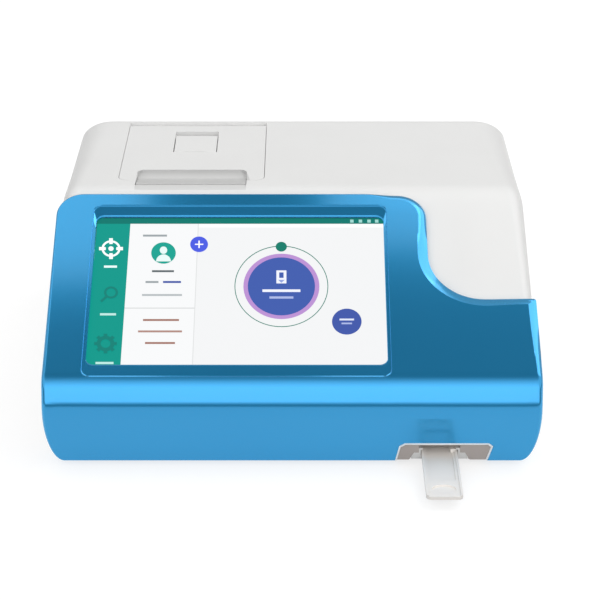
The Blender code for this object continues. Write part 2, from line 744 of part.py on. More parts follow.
def display():
    """The touch glass, the panel behind it, and the bracket that holds both."""
    glass_top = -(WALL + SEAM)
    glass_bottom = glass_top - GLASS_THICKNESS
    glass = prism("touch_glass", "plan", glass_outline(GLASS_LAP, WINDOW_CORNER), glass_bottom,
                  glass_top, "screen_glass")
    on_slope(glass)
    panel_top = glass_bottom - SEAM
    panel_bottom = panel_top - PANEL_THICKNESS
    panel = prism("display_panel", "plan", glass_outline(GLASS_LAP / 2, 0), panel_bottom, panel_top,
                  "steel")
    on_slope(panel)
    bracket_top = panel_bottom - SEAM
    bracket_bottom = bracket_top - BRACKET_THICKNESS
    bracket = prism("display_bracket", "plan", glass_outline(0, WINDOW_CORNER), bracket_bottom,
                    bracket_top, "aluminium", holes=[glass_outline(-BRACKET_LIP, WINDOW_CORNER)[::-1]])
    on_slope(bracket)
    for number, (across, up) in enumerate(display_ears()):
        inward = -1 if across > GLASS_CENTRE else 1
        reach = EAR_REACH / 2 + GLASS_LAP + BRACKET_LIP / 2
        ear = block(f"display_ear_{number}",
                    sorted((across + inward * reach, across - inward * BOSS_RADIUS)),
                    (up - EAR_HALF / 2, up + EAR_HALF / 2), (bracket_bottom + SLIVER, bracket_top - SLIVER))
        join(bracket, on_slope(ear))
        hole = rod(f"display_ear_hole_{number}", "z", bracket_bottom - OVERRUN, bracket_top + OVERRUN,
                   (across, up), SCREW_RADIUS + SEAM, sides=SMALL_SIDES)
        cut(bracket, on_slope(hole))
        shank = rod(f"display_screw_{number + 1}", "z", bracket_bottom - SEAM - SCREW_HEAD / 2,
                    bracket_top + PANEL_THICKNESS / 2, (across, up), SCREW_RADIUS, "steel", SMALL_SIDES)
        head = rod(f"display_screw_head_{number}", "z", bracket_bottom - SEAM - SCREW_HEAD,
                   bracket_bottom - SEAM, (across, up), SCREW_HEAD_RADIUS, sides=SMALL_SIDES)
        join(on_slope(shank), on_slope(head))


# Card port, tray and drive

def card_port_bezel():
    """The grey frame of the port: a funnel that narrows to the guide bed's mouth."""
    bezel = prism("card_port_bezel", "front", port_outline(0), PORT_LIP, PORT_DEPTH, "grey_plastic")
    floor = block("bezel_trim", (-CASE_WIDTH, CASE_WIDTH), (-OVERRUN, CASE_DEPTH), (-OVERRUN * 2, 0))
    passage_half = BED_HALF + SEAM
    roof = PORT_HEIGHT - WALL / 2
    passage = block("bezel_passage", (TRAY_CENTRE - passage_half, TRAY_CENTRE + passage_half),
                    (-OVERRUN, PORT_DEPTH + OVERRUN), (-OVERRUN, roof))
    flare = PORT_HALF - PORT_CORNER
    funnel = prism("bezel_funnel", "plan",
                   [(PORT_CENTRE - flare, -OVERRUN), (PORT_CENTRE + flare, -OVERRUN),
                    (PORT_CENTRE + flare, PORT_LIP + WALL), (TRAY_CENTRE + passage_half, PORT_DEPTH - WALL),
                    (TRAY_CENTRE - passage_half, PORT_DEPTH - WALL), (PORT_CENTRE - flare, PORT_LIP + WALL)],
                   PORT_LIP, roof)
    return cut(bezel, floor, passage, funnel)


def guide_bed():
    """The white channel that carries the tray, with its rails, lips and fixing flanges."""
    start = PORT_LIP
    floor = SEAM + BED_FLOOR
    left, right = TRAY_CENTRE - BED_HALF, TRAY_CENTRE + BED_HALF
    bed = block("guide_bed", (left, right), (start, BED_LENGTH), (SEAM, BED_RAIL), "white_plastic")
    run_half = TRAY_HALF + RUNNING
    run = block("bed_run", (TRAY_CENTRE - run_half, TRAY_CENTRE + run_half),
                (-OVERRUN, BED_LENGTH - WALL), (floor, RACK_TOP + RUNNING))
    slot_half = run_half - BED_LIP
    slot = block("bed_slot", (TRAY_CENTRE - slot_half, TRAY_CENTRE + slot_half),
                 (-OVERRUN, BED_LENGTH - WALL), (floor, BED_RAIL + OVERRUN))
    flange_bottom = WALL + SEAM
    flange = block("bed_flange", (left - BED_FLANGE, right + BED_FLANGE),
                   (COVER_WRAP + WALL + SEAM * 3, BED_LENGTH), (flange_bottom, flange_bottom + BED_FLANGE_THICKNESS))
    join(bed, flange)
    clear = GEAR_MODULE * (PINION_TEETH / 2 + 1) + RUNNING
    pinion_room = rod("pinion_room", "z", PINION_BOTTOM - SEAM, BED_RAIL + OVERRUN,
                      (PINION_CENTRE, PINION_DEPTH), clear)
    return cut(bed, run, slot, pinion_room)


def card_tray():
    """The sliding tray: card pocket, thumb scoop, raised rims and the drive rack."""
    left, right = TRAY_CENTRE - TRAY_HALF, TRAY_CENTRE + TRAY_HALF
    front, back = -TRAY_REACH, TRAY_LENGTH - TRAY_REACH
    bottom = TRAY_TOP - TRAY_THICKNESS
    corner = TRAY_RIM_WIDTH * 2
    tray = prism("card_tray", "plan", rounded(box_outline(left, right, front, back), (corner, corner, 0, 0)),
                 bottom, TRAY_TOP + TRAY_RIM, "tray_plastic")
    sunk = prism("tray_sink", "plan",
                 rounded(box_outline(left + TRAY_RIM_WIDTH, right - TRAY_RIM_WIDTH,
                                     front - OVERRUN, back + OVERRUN), (0, 0, 0, 0)),
                 TRAY_TOP, RACK_TOP + OVERRUN)
    cut(tray, sunk)
    pocket_front = front + SCOOP_SETBACK + SCOOP_LENGTH
    pocket = prism("card_pocket", "plan",
                   rounded(box_outline(TRAY_CENTRE - CARD_WIDTH / 2, TRAY_CENTRE + CARD_WIDTH / 2,
                                       pocket_front, pocket_front + CARD_LENGTH), (TRAY_RIM_WIDTH,) * 4),
                   TRAY_TOP - CARD_SINK, TRAY_TOP + OVERRUN)
    scoop_centre = front + SCOOP_SETBACK
    scoop = prism("thumb_scoop", "plan",
                  [Vector((TRAY_CENTRE, scoop_centre)) + Vector((point.x * SCOOP_WIDTH / 2,
                                                                 point.y * SCOOP_LENGTH / 2))
                   for point in ring((0, 0), 1, ROUND_SIDES)],
                  TRAY_TOP - SCOOP_SINK, TRAY_TOP + OVERRUN)
    cut(tray, pocket, scoop)
    pitch = pi * GEAR_MODULE
    root = RACK_PITCH_LINE - GEAR_MODULE * 1.2
    tip = RACK_PITCH_LINE + GEAR_MODULE
    rack_start = RACK_START
    count = int((back - rack_start) / pitch)
    tooth_shares = ((0.21, 0), (0.375, 1), (0.625, 1), (0.79, 0))
    line = [Vector((right - RACK_WIDTH, rack_start))]
    line.append(Vector((root, rack_start)))
    offset = (PINION_DEPTH - rack_start) % pitch
    for tooth in range(count):
        for along_share, out_share in tooth_shares:
            along = rack_start + offset + pitch * (tooth + along_share - 0.5)
            if rack_start < along < back:
                line.append(Vector((tip if out_share else root, along)))
    line += [Vector((root, back)), Vector((right - RACK_WIDTH, back))]
    gap = block("rack_gap", (right - RACK_WIDTH + SEAM, right + OVERRUN), (rack_start, back + OVERRUN),
                (bottom - OVERRUN, RACK_TOP + OVERRUN))
    rack = prism("rack", "plan", line, bottom, RACK_TOP)
    cut(tray, gap)
    join(tray, rack)
    return tray


def tray_drive():
    """Pinion on its motor, the plate that carries it, and the sensor that finds home."""
    tooth_phase = pi + pi / PINION_TEETH
    pinion = prism("drive_pinion", "plan", gear_outline((0, 0), GEAR_MODULE, PINION_TEETH, tooth_phase),
                   PINION_BOTTOM, PINION_BOTTOM + PINION_HEIGHT, "nylon")
    shaft = rod("pinion_shaft", "z", PINION_BOTTOM + PINION_HEIGHT / 2,
                BED_PLATE_TOP + SEAM + BRACKET_PLATE * 2, (0, 0), PINION_SHAFT, sides=SMALL_SIDES)
    join(pinion, shaft)
    shaft.location = pinion.location = (PINION_CENTRE, PINION_DEPTH, 0)
    plate_front, plate_back = PINION_DEPTH - MOTOR_RADIUS * 1.3, PINION_DEPTH + MOTOR_RADIUS * 1.3
    plate = block("motor_bracket", (TRAY_CENTRE - BED_HALF, PINION_CENTRE + MOTOR_RADIUS * 1.2),
                  (plate_front, plate_back), (BED_RAIL + SEAM, BED_PLATE_TOP), "steel")
    cut(plate, rod("bracket_hole", "z", 0, BED_PLATE_TOP + OVERRUN, (PINION_CENTRE, PINION_DEPTH),
                   PINION_SHAFT * 2, sides=SMALL_SIDES))
    motor_bottom = BED_PLATE_TOP + SEAM
    motor = rod("tray_motor", "z", motor_bottom, motor_bottom + MOTOR_HEIGHT,
                (PINION_CENTRE, PINION_DEPTH), MOTOR_RADIUS, "steel")
    neck = rod("motor_neck", "z", motor_bottom + MOTOR_HEIGHT / 2, motor_bottom + MOTOR_HEIGHT * 1.15,
               (PINION_CENTRE, PINION_DEPTH), MOTOR_RADIUS * 0.45, sides=SMALL_SIDES)
    join(motor, neck)
    cut(motor, rod("motor_bore", "z", 0, motor_bottom + BRACKET_PLATE * 2 + SEAM,
                   (PINION_CENTRE, PINION_DEPTH), PINION_SHAFT + SEAM, sides=SMALL_SIDES))
    sensor_half, sensor_height = BED_FLANGE / 2, BED_RAIL
    sensor_left = TRAY_CENTRE - TRAY_HALF - BED_FLANGE
    sensor = block("home_sensor", (sensor_left, sensor_left + BED_FLANGE),
                   (plate_front - sensor_half * 3, plate_front - sensor_half),
                   (BED_RAIL + SEAM, BED_RAIL + SEAM + sensor_height), "dark_plastic")
    cut(sensor, block("sensor_slot", (sensor_left + WALL, sensor_left + BED_FLANGE - WALL / 2),
                      (plate_front - sensor_half * 4, plate_front),
                      (BED_RAIL + WALL, BED_RAIL + sensor_height * 2)))


def optics():
    """The reading head over the tray: housing, lens, filter, lamp with heat sink, detector."""
    x_limits = (TRAY_CENTRE - OPTICS_HALF, TRAY_CENTRE + OPTICS_HALF)
    y_limits = (OPTICS_DEPTH - OPTICS_HALF, OPTICS_DEPTH + OPTICS_HALF)
    centre = (TRAY_CENTRE, OPTICS_DEPTH)
    housing = block("optics_housing", x_limits, y_limits, (OPTICS_BASE, OPTICS_TOP), "dark_plastic")
    cut(housing, rod("optics_bore", "z", 0, OPTICS_TOP + OVERRUN, centre, OPTICS_BORE))
    lamp_height = OPTICS_BASE + OPTICS_HEIGHT / 2
    cut(housing, rod("lamp_bore", "x", TRAY_CENTRE, TRAY_CENTRE + OPTICS_HALF + OVERRUN,
                     (OPTICS_DEPTH, lamp_height), LAMP_RADIUS + SEAM))
    chamfer = OPTICS_HALF / 2
    for side in (-1, 1):
        corner = prism(f"housing_corner_{side + 1}", "front",
                       [(TRAY_CENTRE + side * (OPTICS_HALF + OVERRUN), OPTICS_TOP - chamfer - OVERRUN),
                        (TRAY_CENTRE + side * (OPTICS_HALF + OVERRUN), OPTICS_TOP + OVERRUN),
                        (TRAY_CENTRE + side * (OPTICS_HALF - chamfer - OVERRUN), OPTICS_TOP + OVERRUN)]
                       [::side], 0, CASE_DEPTH)
        cut(housing, corner)
    lens_low = OPTICS_BASE + LENS_CROWN + SEAM
    profile = [(0, lens_low + LENS_EDGE + LENS_CROWN)]
    for share in (0.4, 0.75, 1.0):
        profile.append((LENS_RADIUS * share, lens_low + LENS_EDGE + LENS_CROWN * (1 - share ** 2)))
    for share in (1.0, 0.75, 0.4):
        profile.append((LENS_RADIUS * share, lens_low - LENS_CROWN * (1 - share ** 2)))
    profile.append((0, lens_low - LENS_CROWN))
    lens = turned("objective_lens", profile, ROUND_SIDES, "optic")
    lens.location = (*centre, 0)
    filter_low = OPTICS_TOP - OPTICS_HALF / 2
    rod("emission_filter", "z", filter_low, filter_low + FILTER_THICKNESS, centre, LENS_RADIUS, "optic")
    lamp_end = TRAY_CENTRE + OPTICS_HALF
    rod("excitation_lamp", "x", lamp_end - LAMP_LENGTH + SEAM, lamp_end, (OPTICS_DEPTH, lamp_height),
        LAMP_RADIUS, "optic", SMALL_SIDES)
    sink_left = lamp_end + SEAM
    sink_z = (lamp_height - SINK_HALF, lamp_height + SINK_HALF)
    sink = block("heat_sink", (sink_left, sink_left + SINK_BASE),
                 (OPTICS_DEPTH - SINK_HALF, OPTICS_DEPTH + SINK_HALF), sink_z, "aluminium")
    pitch = (SINK_HALF * 2 - SINK_FIN) / (SINK_FINS - 1)
    for number in range(SINK_FINS):
        start = OPTICS_DEPTH - SINK_HALF + number * pitch
        join(sink, block(f"sink_fin_{number}", (sink_left + SINK_BASE / 2, sink_left + SINK_BASE + SINK_FIN_REACH),
                         (start, start + SINK_FIN), sink_z))
    board_low = OPTICS_TOP + SEAM
    board_half = OPTICS_HALF - OPTICS_HALF / 8
    board = block("detector_board", (TRAY_CENTRE - board_half, TRAY_CENTRE + board_half), y_limits,
                  (board_low, board_low + BOARD_THICKNESS), "board")
    can = rod("detector_can", "z", board_low + BOARD_THICKNESS / 2, board_low + BOARD_THICKNESS * 3,
              centre, OPTICS_BORE, sides=SMALL_SIDES)
    join(board, can)


def turned(name, profile, steps, finish):
    """A profile of (radius, height) points, top first, turned about Z by a Screw modifier."""
    mesh = bpy.data.meshes.new(name)
    edges = [(index, index + 1) for index in range(len(profile) - 1)]
    mesh.from_pydata([(radius, 0, height) for radius, height in profile], edges, [])
    made = add_object(name, mesh, finish)
    screw = made.modifiers.new("turn", "SCREW")
    screw.steps = screw.render_steps = steps
    screw.use_merge_vertices = True
    screw.merge_threshold = SEAM / 30
    return made


# Printer

def lid_outline(grow):
    """The lid with its tongue in the paper exit, seen from above."""
    half, tongue = LID_WIDTH / 2 + grow, TONGUE_WIDTH / 2 + grow
    rear = HINGE_DEPTH + (HINGE_GAP if grow else 0)
    corners = [Vector((LID_CENTRE - tongue, SLIT_REAR - grow)), Vector((LID_CENTRE + tongue, SLIT_REAR - grow)),
               Vector((LID_CENTRE + tongue, LID_FRONT - grow)), Vector((LID_CENTRE + half, LID_FRONT - grow)),
               Vector((LID_CENTRE + half, rear)), Vector((LID_CENTRE - half, rear)),
               Vector((LID_CENTRE - half, LID_FRONT - grow)), Vector((LID_CENTRE - tongue, LID_FRONT - grow))]
    radii = (0, 0, 0, LID_CORNER + grow, 0, 0, LID_CORNER + grow, 0)
    return rounded(corners, radii)


def exit_cutter(name):
    """The shallow recess round the paper slit, its floor sweeping up to the rear."""
    half = EXIT_WIDTH / 2
    steps = ROUND_SIDES // 2
    sweep = EXIT_REAR - SLIT_REAR
    cove = [Vector((SLIT_REAR + sweep * sin(pi / 2 * step / steps),
                    EXIT_HEIGHT + EXIT_SINK * (1 - cos(pi / 2 * step / steps))))
            for step in range(steps + 1)]
    outline = [Vector((EXIT_FRONT, EXIT_HEIGHT))] + cove
    outline += [Vector((EXIT_REAR, POD_TOP + OVERRUN)), Vector((EXIT_FRONT, POD_TOP + OVERRUN))]
    limit = prism(name + "_plan", "plan",
                  rounded(box_outline(LID_CENTRE - half, LID_CENTRE + half, EXIT_FRONT - SLIVER,
                                      EXIT_REAR + SLIVER), (EXIT_CORNER,) * 4),
                  EXIT_HEIGHT - OVERRUN, POD_TOP + OVERRUN * 2)
    sweep_body = prism(name, "side", outline, LID_CENTRE - half - OVERRUN, LID_CENTRE + half + OVERRUN)
    return keep_inside(sweep_body, limit)


def printer_cover():
    """The lid: plate, skirts, exit tongue, tab well, platen ears and hinge barrel."""
    under = SHELL_TOP - LID_THICKNESS
    lid = prism("printer_cover", "plan", lid_outline(0), under, SHELL_TOP, "white_plastic")
    left, right = LID_CENTRE - LID_WIDTH / 2, LID_CENTRE + LID_WIDTH / 2
    skirt_z = (SHELL_TOP - LID_SKIRT, under + LID_THICKNESS / 2)
    skirt_y = (LID_FRONT + LID_CORNER, HINGE_DEPTH - HINGE_RADIUS)
    for number, low in enumerate((left + SEAM, right - SEAM - LID_SKIRT_WALL)):
        join(lid, block(f"lid_skirt_{number}", (low, low + LID_SKIRT_WALL), skirt_y, skirt_z))
    floor = EXIT_HEIGHT - EXIT_FLOOR
    half = EXIT_WIDTH / 2
    join(lid, block("exit_block", (LID_CENTRE - half, LID_CENTRE + half),
                    (SLIT_REAR, EXIT_REAR + EXIT_FLOOR), (floor, under + LID_THICKNESS / 2)))
    well_half = TAB_WIDTH / 2 + SEAM
    well_front, well_rear = TAB_FRONT - TAB_NOSE - SEAM, TAB_REAR + TAB_SLOT
    well_floor = SHELL_TOP - WELL_DEPTH
    join(lid, block("tab_well", (LID_CENTRE - well_half - WELL_WALL, LID_CENTRE + well_half + WELL_WALL),
                    (well_front - WELL_WALL, well_rear + WELL_WALL),
                    (well_floor - WELL_WALL, under + LID_THICKNESS / 2)))
    barrel = rod("hinge_barrel", "x", left, right, (HINGE_DEPTH, HINGE_HEIGHT), HINGE_RADIUS)
    join(lid, barrel)
    ear_y = (PLATEN_DEPTH - PLATEN_EAR_HALF, PLATEN_DEPTH + PLATEN_EAR_HALF)
    ear_low = PLATEN_HEIGHT - PLATEN_EAR_HALF
    for number, side in enumerate((-1, 1)):
        inner = LID_CENTRE + side * (PLATEN_HALF + SEAM)
        outer = inner + side * PLATEN_EAR
        join(lid, block(f"platen_ear_{number}", sorted((inner, outer)), ear_y, (ear_low, floor + EXIT_FLOOR / 2)))
    hollow_half = LID_WIDTH / 2 - KNUCKLE
    cut(lid, rod("barrel_hollow", "x", LID_CENTRE - hollow_half, LID_CENTRE + hollow_half,
                 (HINGE_DEPTH, HINGE_HEIGHT), HINGE_RADIUS - LID_THICKNESS))
    cut(lid, rod("hinge_hole", "x", left - OVERRUN, right + OVERRUN, (HINGE_DEPTH, HINGE_HEIGHT),
                 HINGE_PIN + SEAM, sides=SMALL_SIDES))
    cut(lid, exit_cutter("lid_exit"))
    well = prism("tab_well_room", "plan",
                 box_outline(LID_CENTRE - well_half, LID_CENTRE + well_half, well_front, well_rear),
                 well_floor, SHELL_TOP + OVERRUN)
    cut(lid, well)
    pin_height = SHELL_TOP - TAB_SINK - TAB_NOSE
    cut(lid, rod("tab_pin_hole", "x", LID_CENTRE - well_half - WELL_WALL / 2,
                 LID_CENTRE + well_half + WELL_WALL / 2, (TAB_FRONT, pin_height), TAB_PIN + SEAM,
                 sides=SMALL_SIDES))
    cut(lid, rod("platen_shaft_hole", "x", LID_CENTRE - EXIT_WIDTH, LID_CENTRE + EXIT_WIDTH,
                 (PLATEN_DEPTH, PLATEN_HEIGHT), PLATEN_SHAFT + SEAM, sides=SMALL_SIDES))
    return hang_on(lid, (LID_CENTRE, HINGE_DEPTH, HINGE_HEIGHT))


def lid_fittings():
    """Hinge pin, release tab with its pin and spring, and the platen roller with its gear."""
    pin_half = LID_WIDTH / 2 + SEAM + RIM_WALL / 2
    rod("cover_hinge_pin", "x", LID_CENTRE - pin_half, LID_CENTRE + pin_half, (HINGE_DEPTH, HINGE_HEIGHT),
        HINGE_PIN, "steel", SMALL_SIDES)
    pin_height = SHELL_TOP - TAB_SINK - TAB_NOSE
    pivot = Vector((LID_CENTRE, TAB_FRONT, pin_height))
    half = TAB_WIDTH / 2 - SEAM
    tab_top = SHELL_TOP - TAB_SINK
    tab = block("release_tab", (LID_CENTRE - half, LID_CENTRE + half), (TAB_FRONT, TAB_REAR),
                (tab_top - TAB_THICKNESS, tab_top), "white_plastic")
    join(tab, rod("tab_nose", "x", LID_CENTRE - half, LID_CENTRE + half, (TAB_FRONT, pin_height), TAB_NOSE))
    grip = block("tab_grip", (LID_CENTRE - half, LID_CENTRE + half),
                 (TAB_REAR - TAB_THICKNESS, TAB_REAR),
                 (tab_top - TAB_THICKNESS * 1.7, tab_top - TAB_THICKNESS / 2))
    join(tab, grip)
    spring_half = SPRING_RADIUS * 3.5
    cut(tab, rod("tab_spring_room", "x", LID_CENTRE - spring_half, LID_CENTRE + spring_half,
                 (TAB_FRONT, pin_height), TAB_NOSE + SEAM * 2))
    cut(tab, rod("tab_bore", "x", LID_CENTRE - TAB_WIDTH, LID_CENTRE + TAB_WIDTH, (TAB_FRONT, pin_height),
                 TAB_PIN + SEAM, sides=SMALL_SIDES))
    hang_on(tab, pivot)
    rod("tab_pin", "x", LID_CENTRE - TAB_WIDTH / 2 - WELL_WALL / 3, LID_CENTRE + TAB_WIDTH / 2 + WELL_WALL / 3,
        (TAB_FRONT, pin_height), TAB_PIN, "steel", SMALL_SIDES)
    coil("tab_spring", "x", pivot, SPRING_RADIUS, SPRING_WIRE, SPRING_TURNS, spring_half * 2 - SEAM * 4)

    platen = rod("platen_roller", "x", -PLATEN_HALF, PLATEN_HALF, (0, 0), PLATEN_RADIUS, "rubber")
    gear_right = GEAR_LEFT + FINE_WIDTH
    join(platen, rod("platen_shaft", "x", -PLATEN_HALF - PLATEN_EAR, gear_right + SEAM, (0, 0), PLATEN_SHAFT,
                     sides=SMALL_SIDES))
    place = Vector((LID_CENTRE, PLATEN_DEPTH, PLATEN_HEIGHT))
    bpy.data.objects["platen_shaft"].location = platen.location = place
    phase = mesh_phase(IDLER_PHASE, IDLER_TEETH, pi / 2, PLATEN_TEETH)
    gear = prism("platen_gear", "side", gear_outline((0, 0), FINE_MODULE, PLATEN_TEETH, phase),
                 GEAR_LEFT, gear_right - SEAM, "nylon")
    bore = rod("platen_gear_bore", "x", 0, gear_right + OVERRUN, (0, 0), PLATEN_SHAFT + SEAM, sides=SMALL_SIDES)
    cut(gear, bore)
    bore.location = gear.location = place


def coil(name, axis, centre, radius, wire, turns, length):
    """A spring: one wire on a helix of even pitch, with eight points a turn."""
    per_turn = 8
    curve = bpy.data.curves.new(name, "CURVE")
    curve.dimensions = "3D"
    curve.bevel_depth = wire
    curve.bevel_resolution = 0
    curve.use_fill_caps = True
    spline = curve.splines.new("POLY")
    count = per_turn * turns + 1
    spline.points.add(count - 1)
    for index, point in enumerate(spline.points):
        angle = 2 * pi * index / per_turn
        along = length * (index / (count - 1) - 0.5)
        around = (radius * cos(angle), radius * sin(angle))
        place = (along, *around) if axis == "x" else (around[0], along, around[1])
        point.co = (*place, 1)
    drawn = bpy.data.objects.new(name + "_wire", curve)
    bench.tools.objects.link(drawn)
    evaluated = drawn.evaluated_get(bpy.context.evaluated_depsgraph_get())
    mesh = bpy.data.meshes.new_from_object(evaluated)
    bpy.data.objects.remove(drawn, do_unlink=True)
    form = bmesh.new()
    form.from_mesh(mesh)
    bmesh.ops.remove_doubles(form, verts=form.verts, dist=wire / 20)
    bmesh.ops.recalc_face_normals(form, faces=form.faces)
    form.to_mesh(mesh)
    form.free()
    made = add_object(name, mesh, "steel")
    made.location = centre
    return made


def paper_bay():
    """The bucket that holds the roll, with a rim flange under the lid, and the roll."""
    inner_half = ROLL_WIDTH / 2 + TROUGH_PLAY
    outer_half = inner_half + TROUGH_WALL
    flange_low = FLANGE_TOP - FLANGE_THICKNESS
    rim_half = LID_WIDTH / 2 + SEAM + RIM_WALL
    flange_front, flange_rear = FRAME_REAR + SEAM * 3, HINGE_DEPTH - HINGE_RADIUS - WALL - SEAM
    bucket = block("paper_bucket", (LID_CENTRE - rim_half, LID_CENTRE + rim_half),
                   (flange_front, flange_rear), (flange_low, FLANGE_TOP), "white_plastic")

    def trough_outline(radius, top):
        arc = [Vector((TROUGH_DEPTH, TROUGH_HEIGHT)) + radius * Vector((cos(angle), sin(angle)))
               for angle in (pi + pi * step / (ROUND_SIDES // 2) for step in range(ROUND_SIDES // 2 + 1))]
        return arc + [Vector((TROUGH_DEPTH + radius, top)), Vector((TROUGH_DEPTH - radius, top))]

    join(bucket, prism("trough", "side", trough_outline(TROUGH_RADIUS + TROUGH_WALL, flange_low + SEAM),
                       LID_CENTRE - outer_half, LID_CENTRE + outer_half))
    cut(bucket, prism("trough_room", "side", trough_outline(TROUGH_RADIUS, FLANGE_TOP + OVERRUN),
                      LID_CENTRE - inner_half, LID_CENTRE + inner_half))
    roll_height = TROUGH_HEIGHT - TROUGH_RADIUS + ROLL_RADIUS + SEAM
    roll = rod("paper_roll", "x", -ROLL_WIDTH / 2, ROLL_WIDTH / 2, (0, 0), ROLL_RADIUS, "paper", 28)
    core = rod("roll_core", "x", -ROLL_WIDTH, ROLL_WIDTH, (0, 0), ROLL_CORE, sides=SMALL_SIDES)
    cut(roll, core)
    roll.location = core.location = (LID_CENTRE, TROUGH_DEPTH, roll_height)


def print_mechanism():
    """The printer's chassis, motor, gear train, sprung print head and tear bar."""
    inner, outer = FRAME_INNER, FRAME_INNER + FRAME_WALL
    side = [Vector((FRAME_FRONT, FRAME_BOTTOM)), Vector((FRAME_REAR, FRAME_BOTTOM)),
            Vector((FRAME_REAR, FRAME_NOTCH)), Vector((SLIT_REAR - SEAM, FRAME_NOTCH)),
            Vector((SLIT_REAR - SEAM, FRAME_TOP)), Vector((FRAME_FRONT, FRAME_TOP))]
    chassis = prism("printer_frame", "side", side, LID_CENTRE - outer, LID_CENTRE + outer, "steel")
    cut(chassis, block("chassis_room", (LID_CENTRE - inner, LID_CENTRE + inner),
                       (FRAME_FRONT + FRAME_WALL, FRAME_REAR + OVERRUN),
                       (FRAME_BOTTOM + FRAME_WALL, FRAME_TOP + OVERRUN)))
    stud = rod("idler_stud", "x", LID_CENTRE + inner + FRAME_WALL / 2, LID_CENTRE + GEAR_LEFT + FINE_WIDTH + SEAM,
               (PLATEN_DEPTH, IDLER_HEIGHT), PLATEN_SHAFT, sides=SMALL_SIDES)
    join(chassis, stud)
    cut(chassis, rod("motor_hole", "x", LID_CENTRE + inner - OVERRUN, LID_CENTRE + outer + OVERRUN,
                     (MOTOR_DEPTH, MOTOR_AXIS_HEIGHT), PLATEN_SHAFT * 2, sides=SMALL_SIDES))
    pin_height = HEAD_BOTTOM + TRUNNION * 1.4
    head_front = PLATEN_DEPTH - PLATEN_RADIUS - HEAD_GAP - HEAD_THICKNESS
    cut(chassis, rod("trunnion_hole", "x", LID_CENTRE - outer - OVERRUN, LID_CENTRE + outer + OVERRUN,
                     (head_front + HEAD_THICKNESS / 2, pin_height), TRUNNION + SEAM, sides=SMALL_SIDES))
    head = block("print_head", (LID_CENTRE - PLATEN_HALF, LID_CENTRE + PLATEN_HALF),
                 (head_front, head_front + HEAD_THICKNESS), (HEAD_BOTTOM, HEAD_TOP), "dark_plastic")
    join(head, rod("head_trunnions", "x", LID_CENTRE - outer, LID_CENTRE + outer,
                   (head_front + HEAD_THICKNESS / 2, pin_height), TRUNNION, sides=SMALL_SIDES))
    spring_length = head_front - FRAME_FRONT - FRAME_WALL - SEAM * 4 - HEAD_SPRING_WIRE * 2
    for number, place in enumerate((-HEAD_SPRING_SPREAD, HEAD_SPRING_SPREAD)):
        middle = (FRAME_FRONT + FRAME_WALL + head_front) / 2
        coil(f"head_spring_{number + 1}", "y",
             (LID_CENTRE + place, middle, FRAME_TOP - HEAD_SPRING_RADIUS * 1.3),
             HEAD_SPRING_RADIUS, HEAD_SPRING_WIRE, HEAD_SPRING_TURNS, spring_length)

    stepper_right = LID_CENTRE + inner - SEAM
    rod("printer_motor", "x", stepper_right - STEPPER_LENGTH, stepper_right, (MOTOR_DEPTH, MOTOR_AXIS_HEIGHT),
        STEPPER_RADIUS, "steel")
    motor = bpy.data.objects["printer_motor"]
    cut(motor, rod("stepper_bore", "x", stepper_right - STEPPER_LENGTH / 3, stepper_right + OVERRUN,
                   (MOTOR_DEPTH, MOTOR_AXIS_HEIGHT), PLATEN_SHAFT, sides=SMALL_SIDES))
    gear_x = (GEAR_LEFT, GEAR_LEFT + FINE_WIDTH - SEAM)
    phase = mesh_phase(IDLER_PHASE, IDLER_TEETH, -pi / 2 - MOTOR_GEAR_LEAN, MOTOR_TEETH)
    small = prism("motor_gear", "side", gear_outline((0, 0), FINE_MODULE, MOTOR_TEETH, phase),
                  *gear_x, "brass")
    small_shaft = rod("motor_shaft", "x", inner - STEPPER_LENGTH / 4, GEAR_LEFT + FINE_WIDTH / 2, (0, 0),
                      PLATEN_SHAFT - SEAM, sides=SMALL_SIDES)
    join(small, small_shaft)
    small_shaft.location = small.location = (LID_CENTRE, MOTOR_DEPTH, MOTOR_AXIS_HEIGHT)
    idler = prism("idler_gear", "side", gear_outline((0, 0), FINE_MODULE, IDLER_TEETH, IDLER_PHASE),
                  *gear_x, "nylon")
    idler_bore = rod("idler_bore", "x", 0, GEAR_LEFT + FINE_WIDTH * 2, (0, 0), PLATEN_SHAFT + SEAM,
                     sides=SMALL_SIDES)
    cut(idler, idler_bore)
    idler_bore.location = idler.location = (LID_CENTRE, PLATEN_DEPTH, IDLER_HEIGHT)

    bar_low, bar_high = EXIT_HEIGHT - EXIT_FLOOR, EXIT_HEIGHT + TEAR_TOOTH
    half = PLATEN_HALF
    teeth = []
    pitch = 2 * half / TEAR_TEETH
    for number in range(TEAR_TEETH):
        start = LID_CENTRE + half - number * pitch
        teeth += [(start, bar_high - TEAR_TOOTH), (start - pitch / 2, bar_high)]
    teeth.append((LID_CENTRE - half, bar_high - TEAR_TOOTH))
    prism("tear_bar", "front", [(LID_CENTRE - half, bar_low), (LID_CENTRE + half, bar_low)] + teeth,
          SLIT_FRONT - TEAR_THICKNESS, SLIT_FRONT, "steel")


# White shells

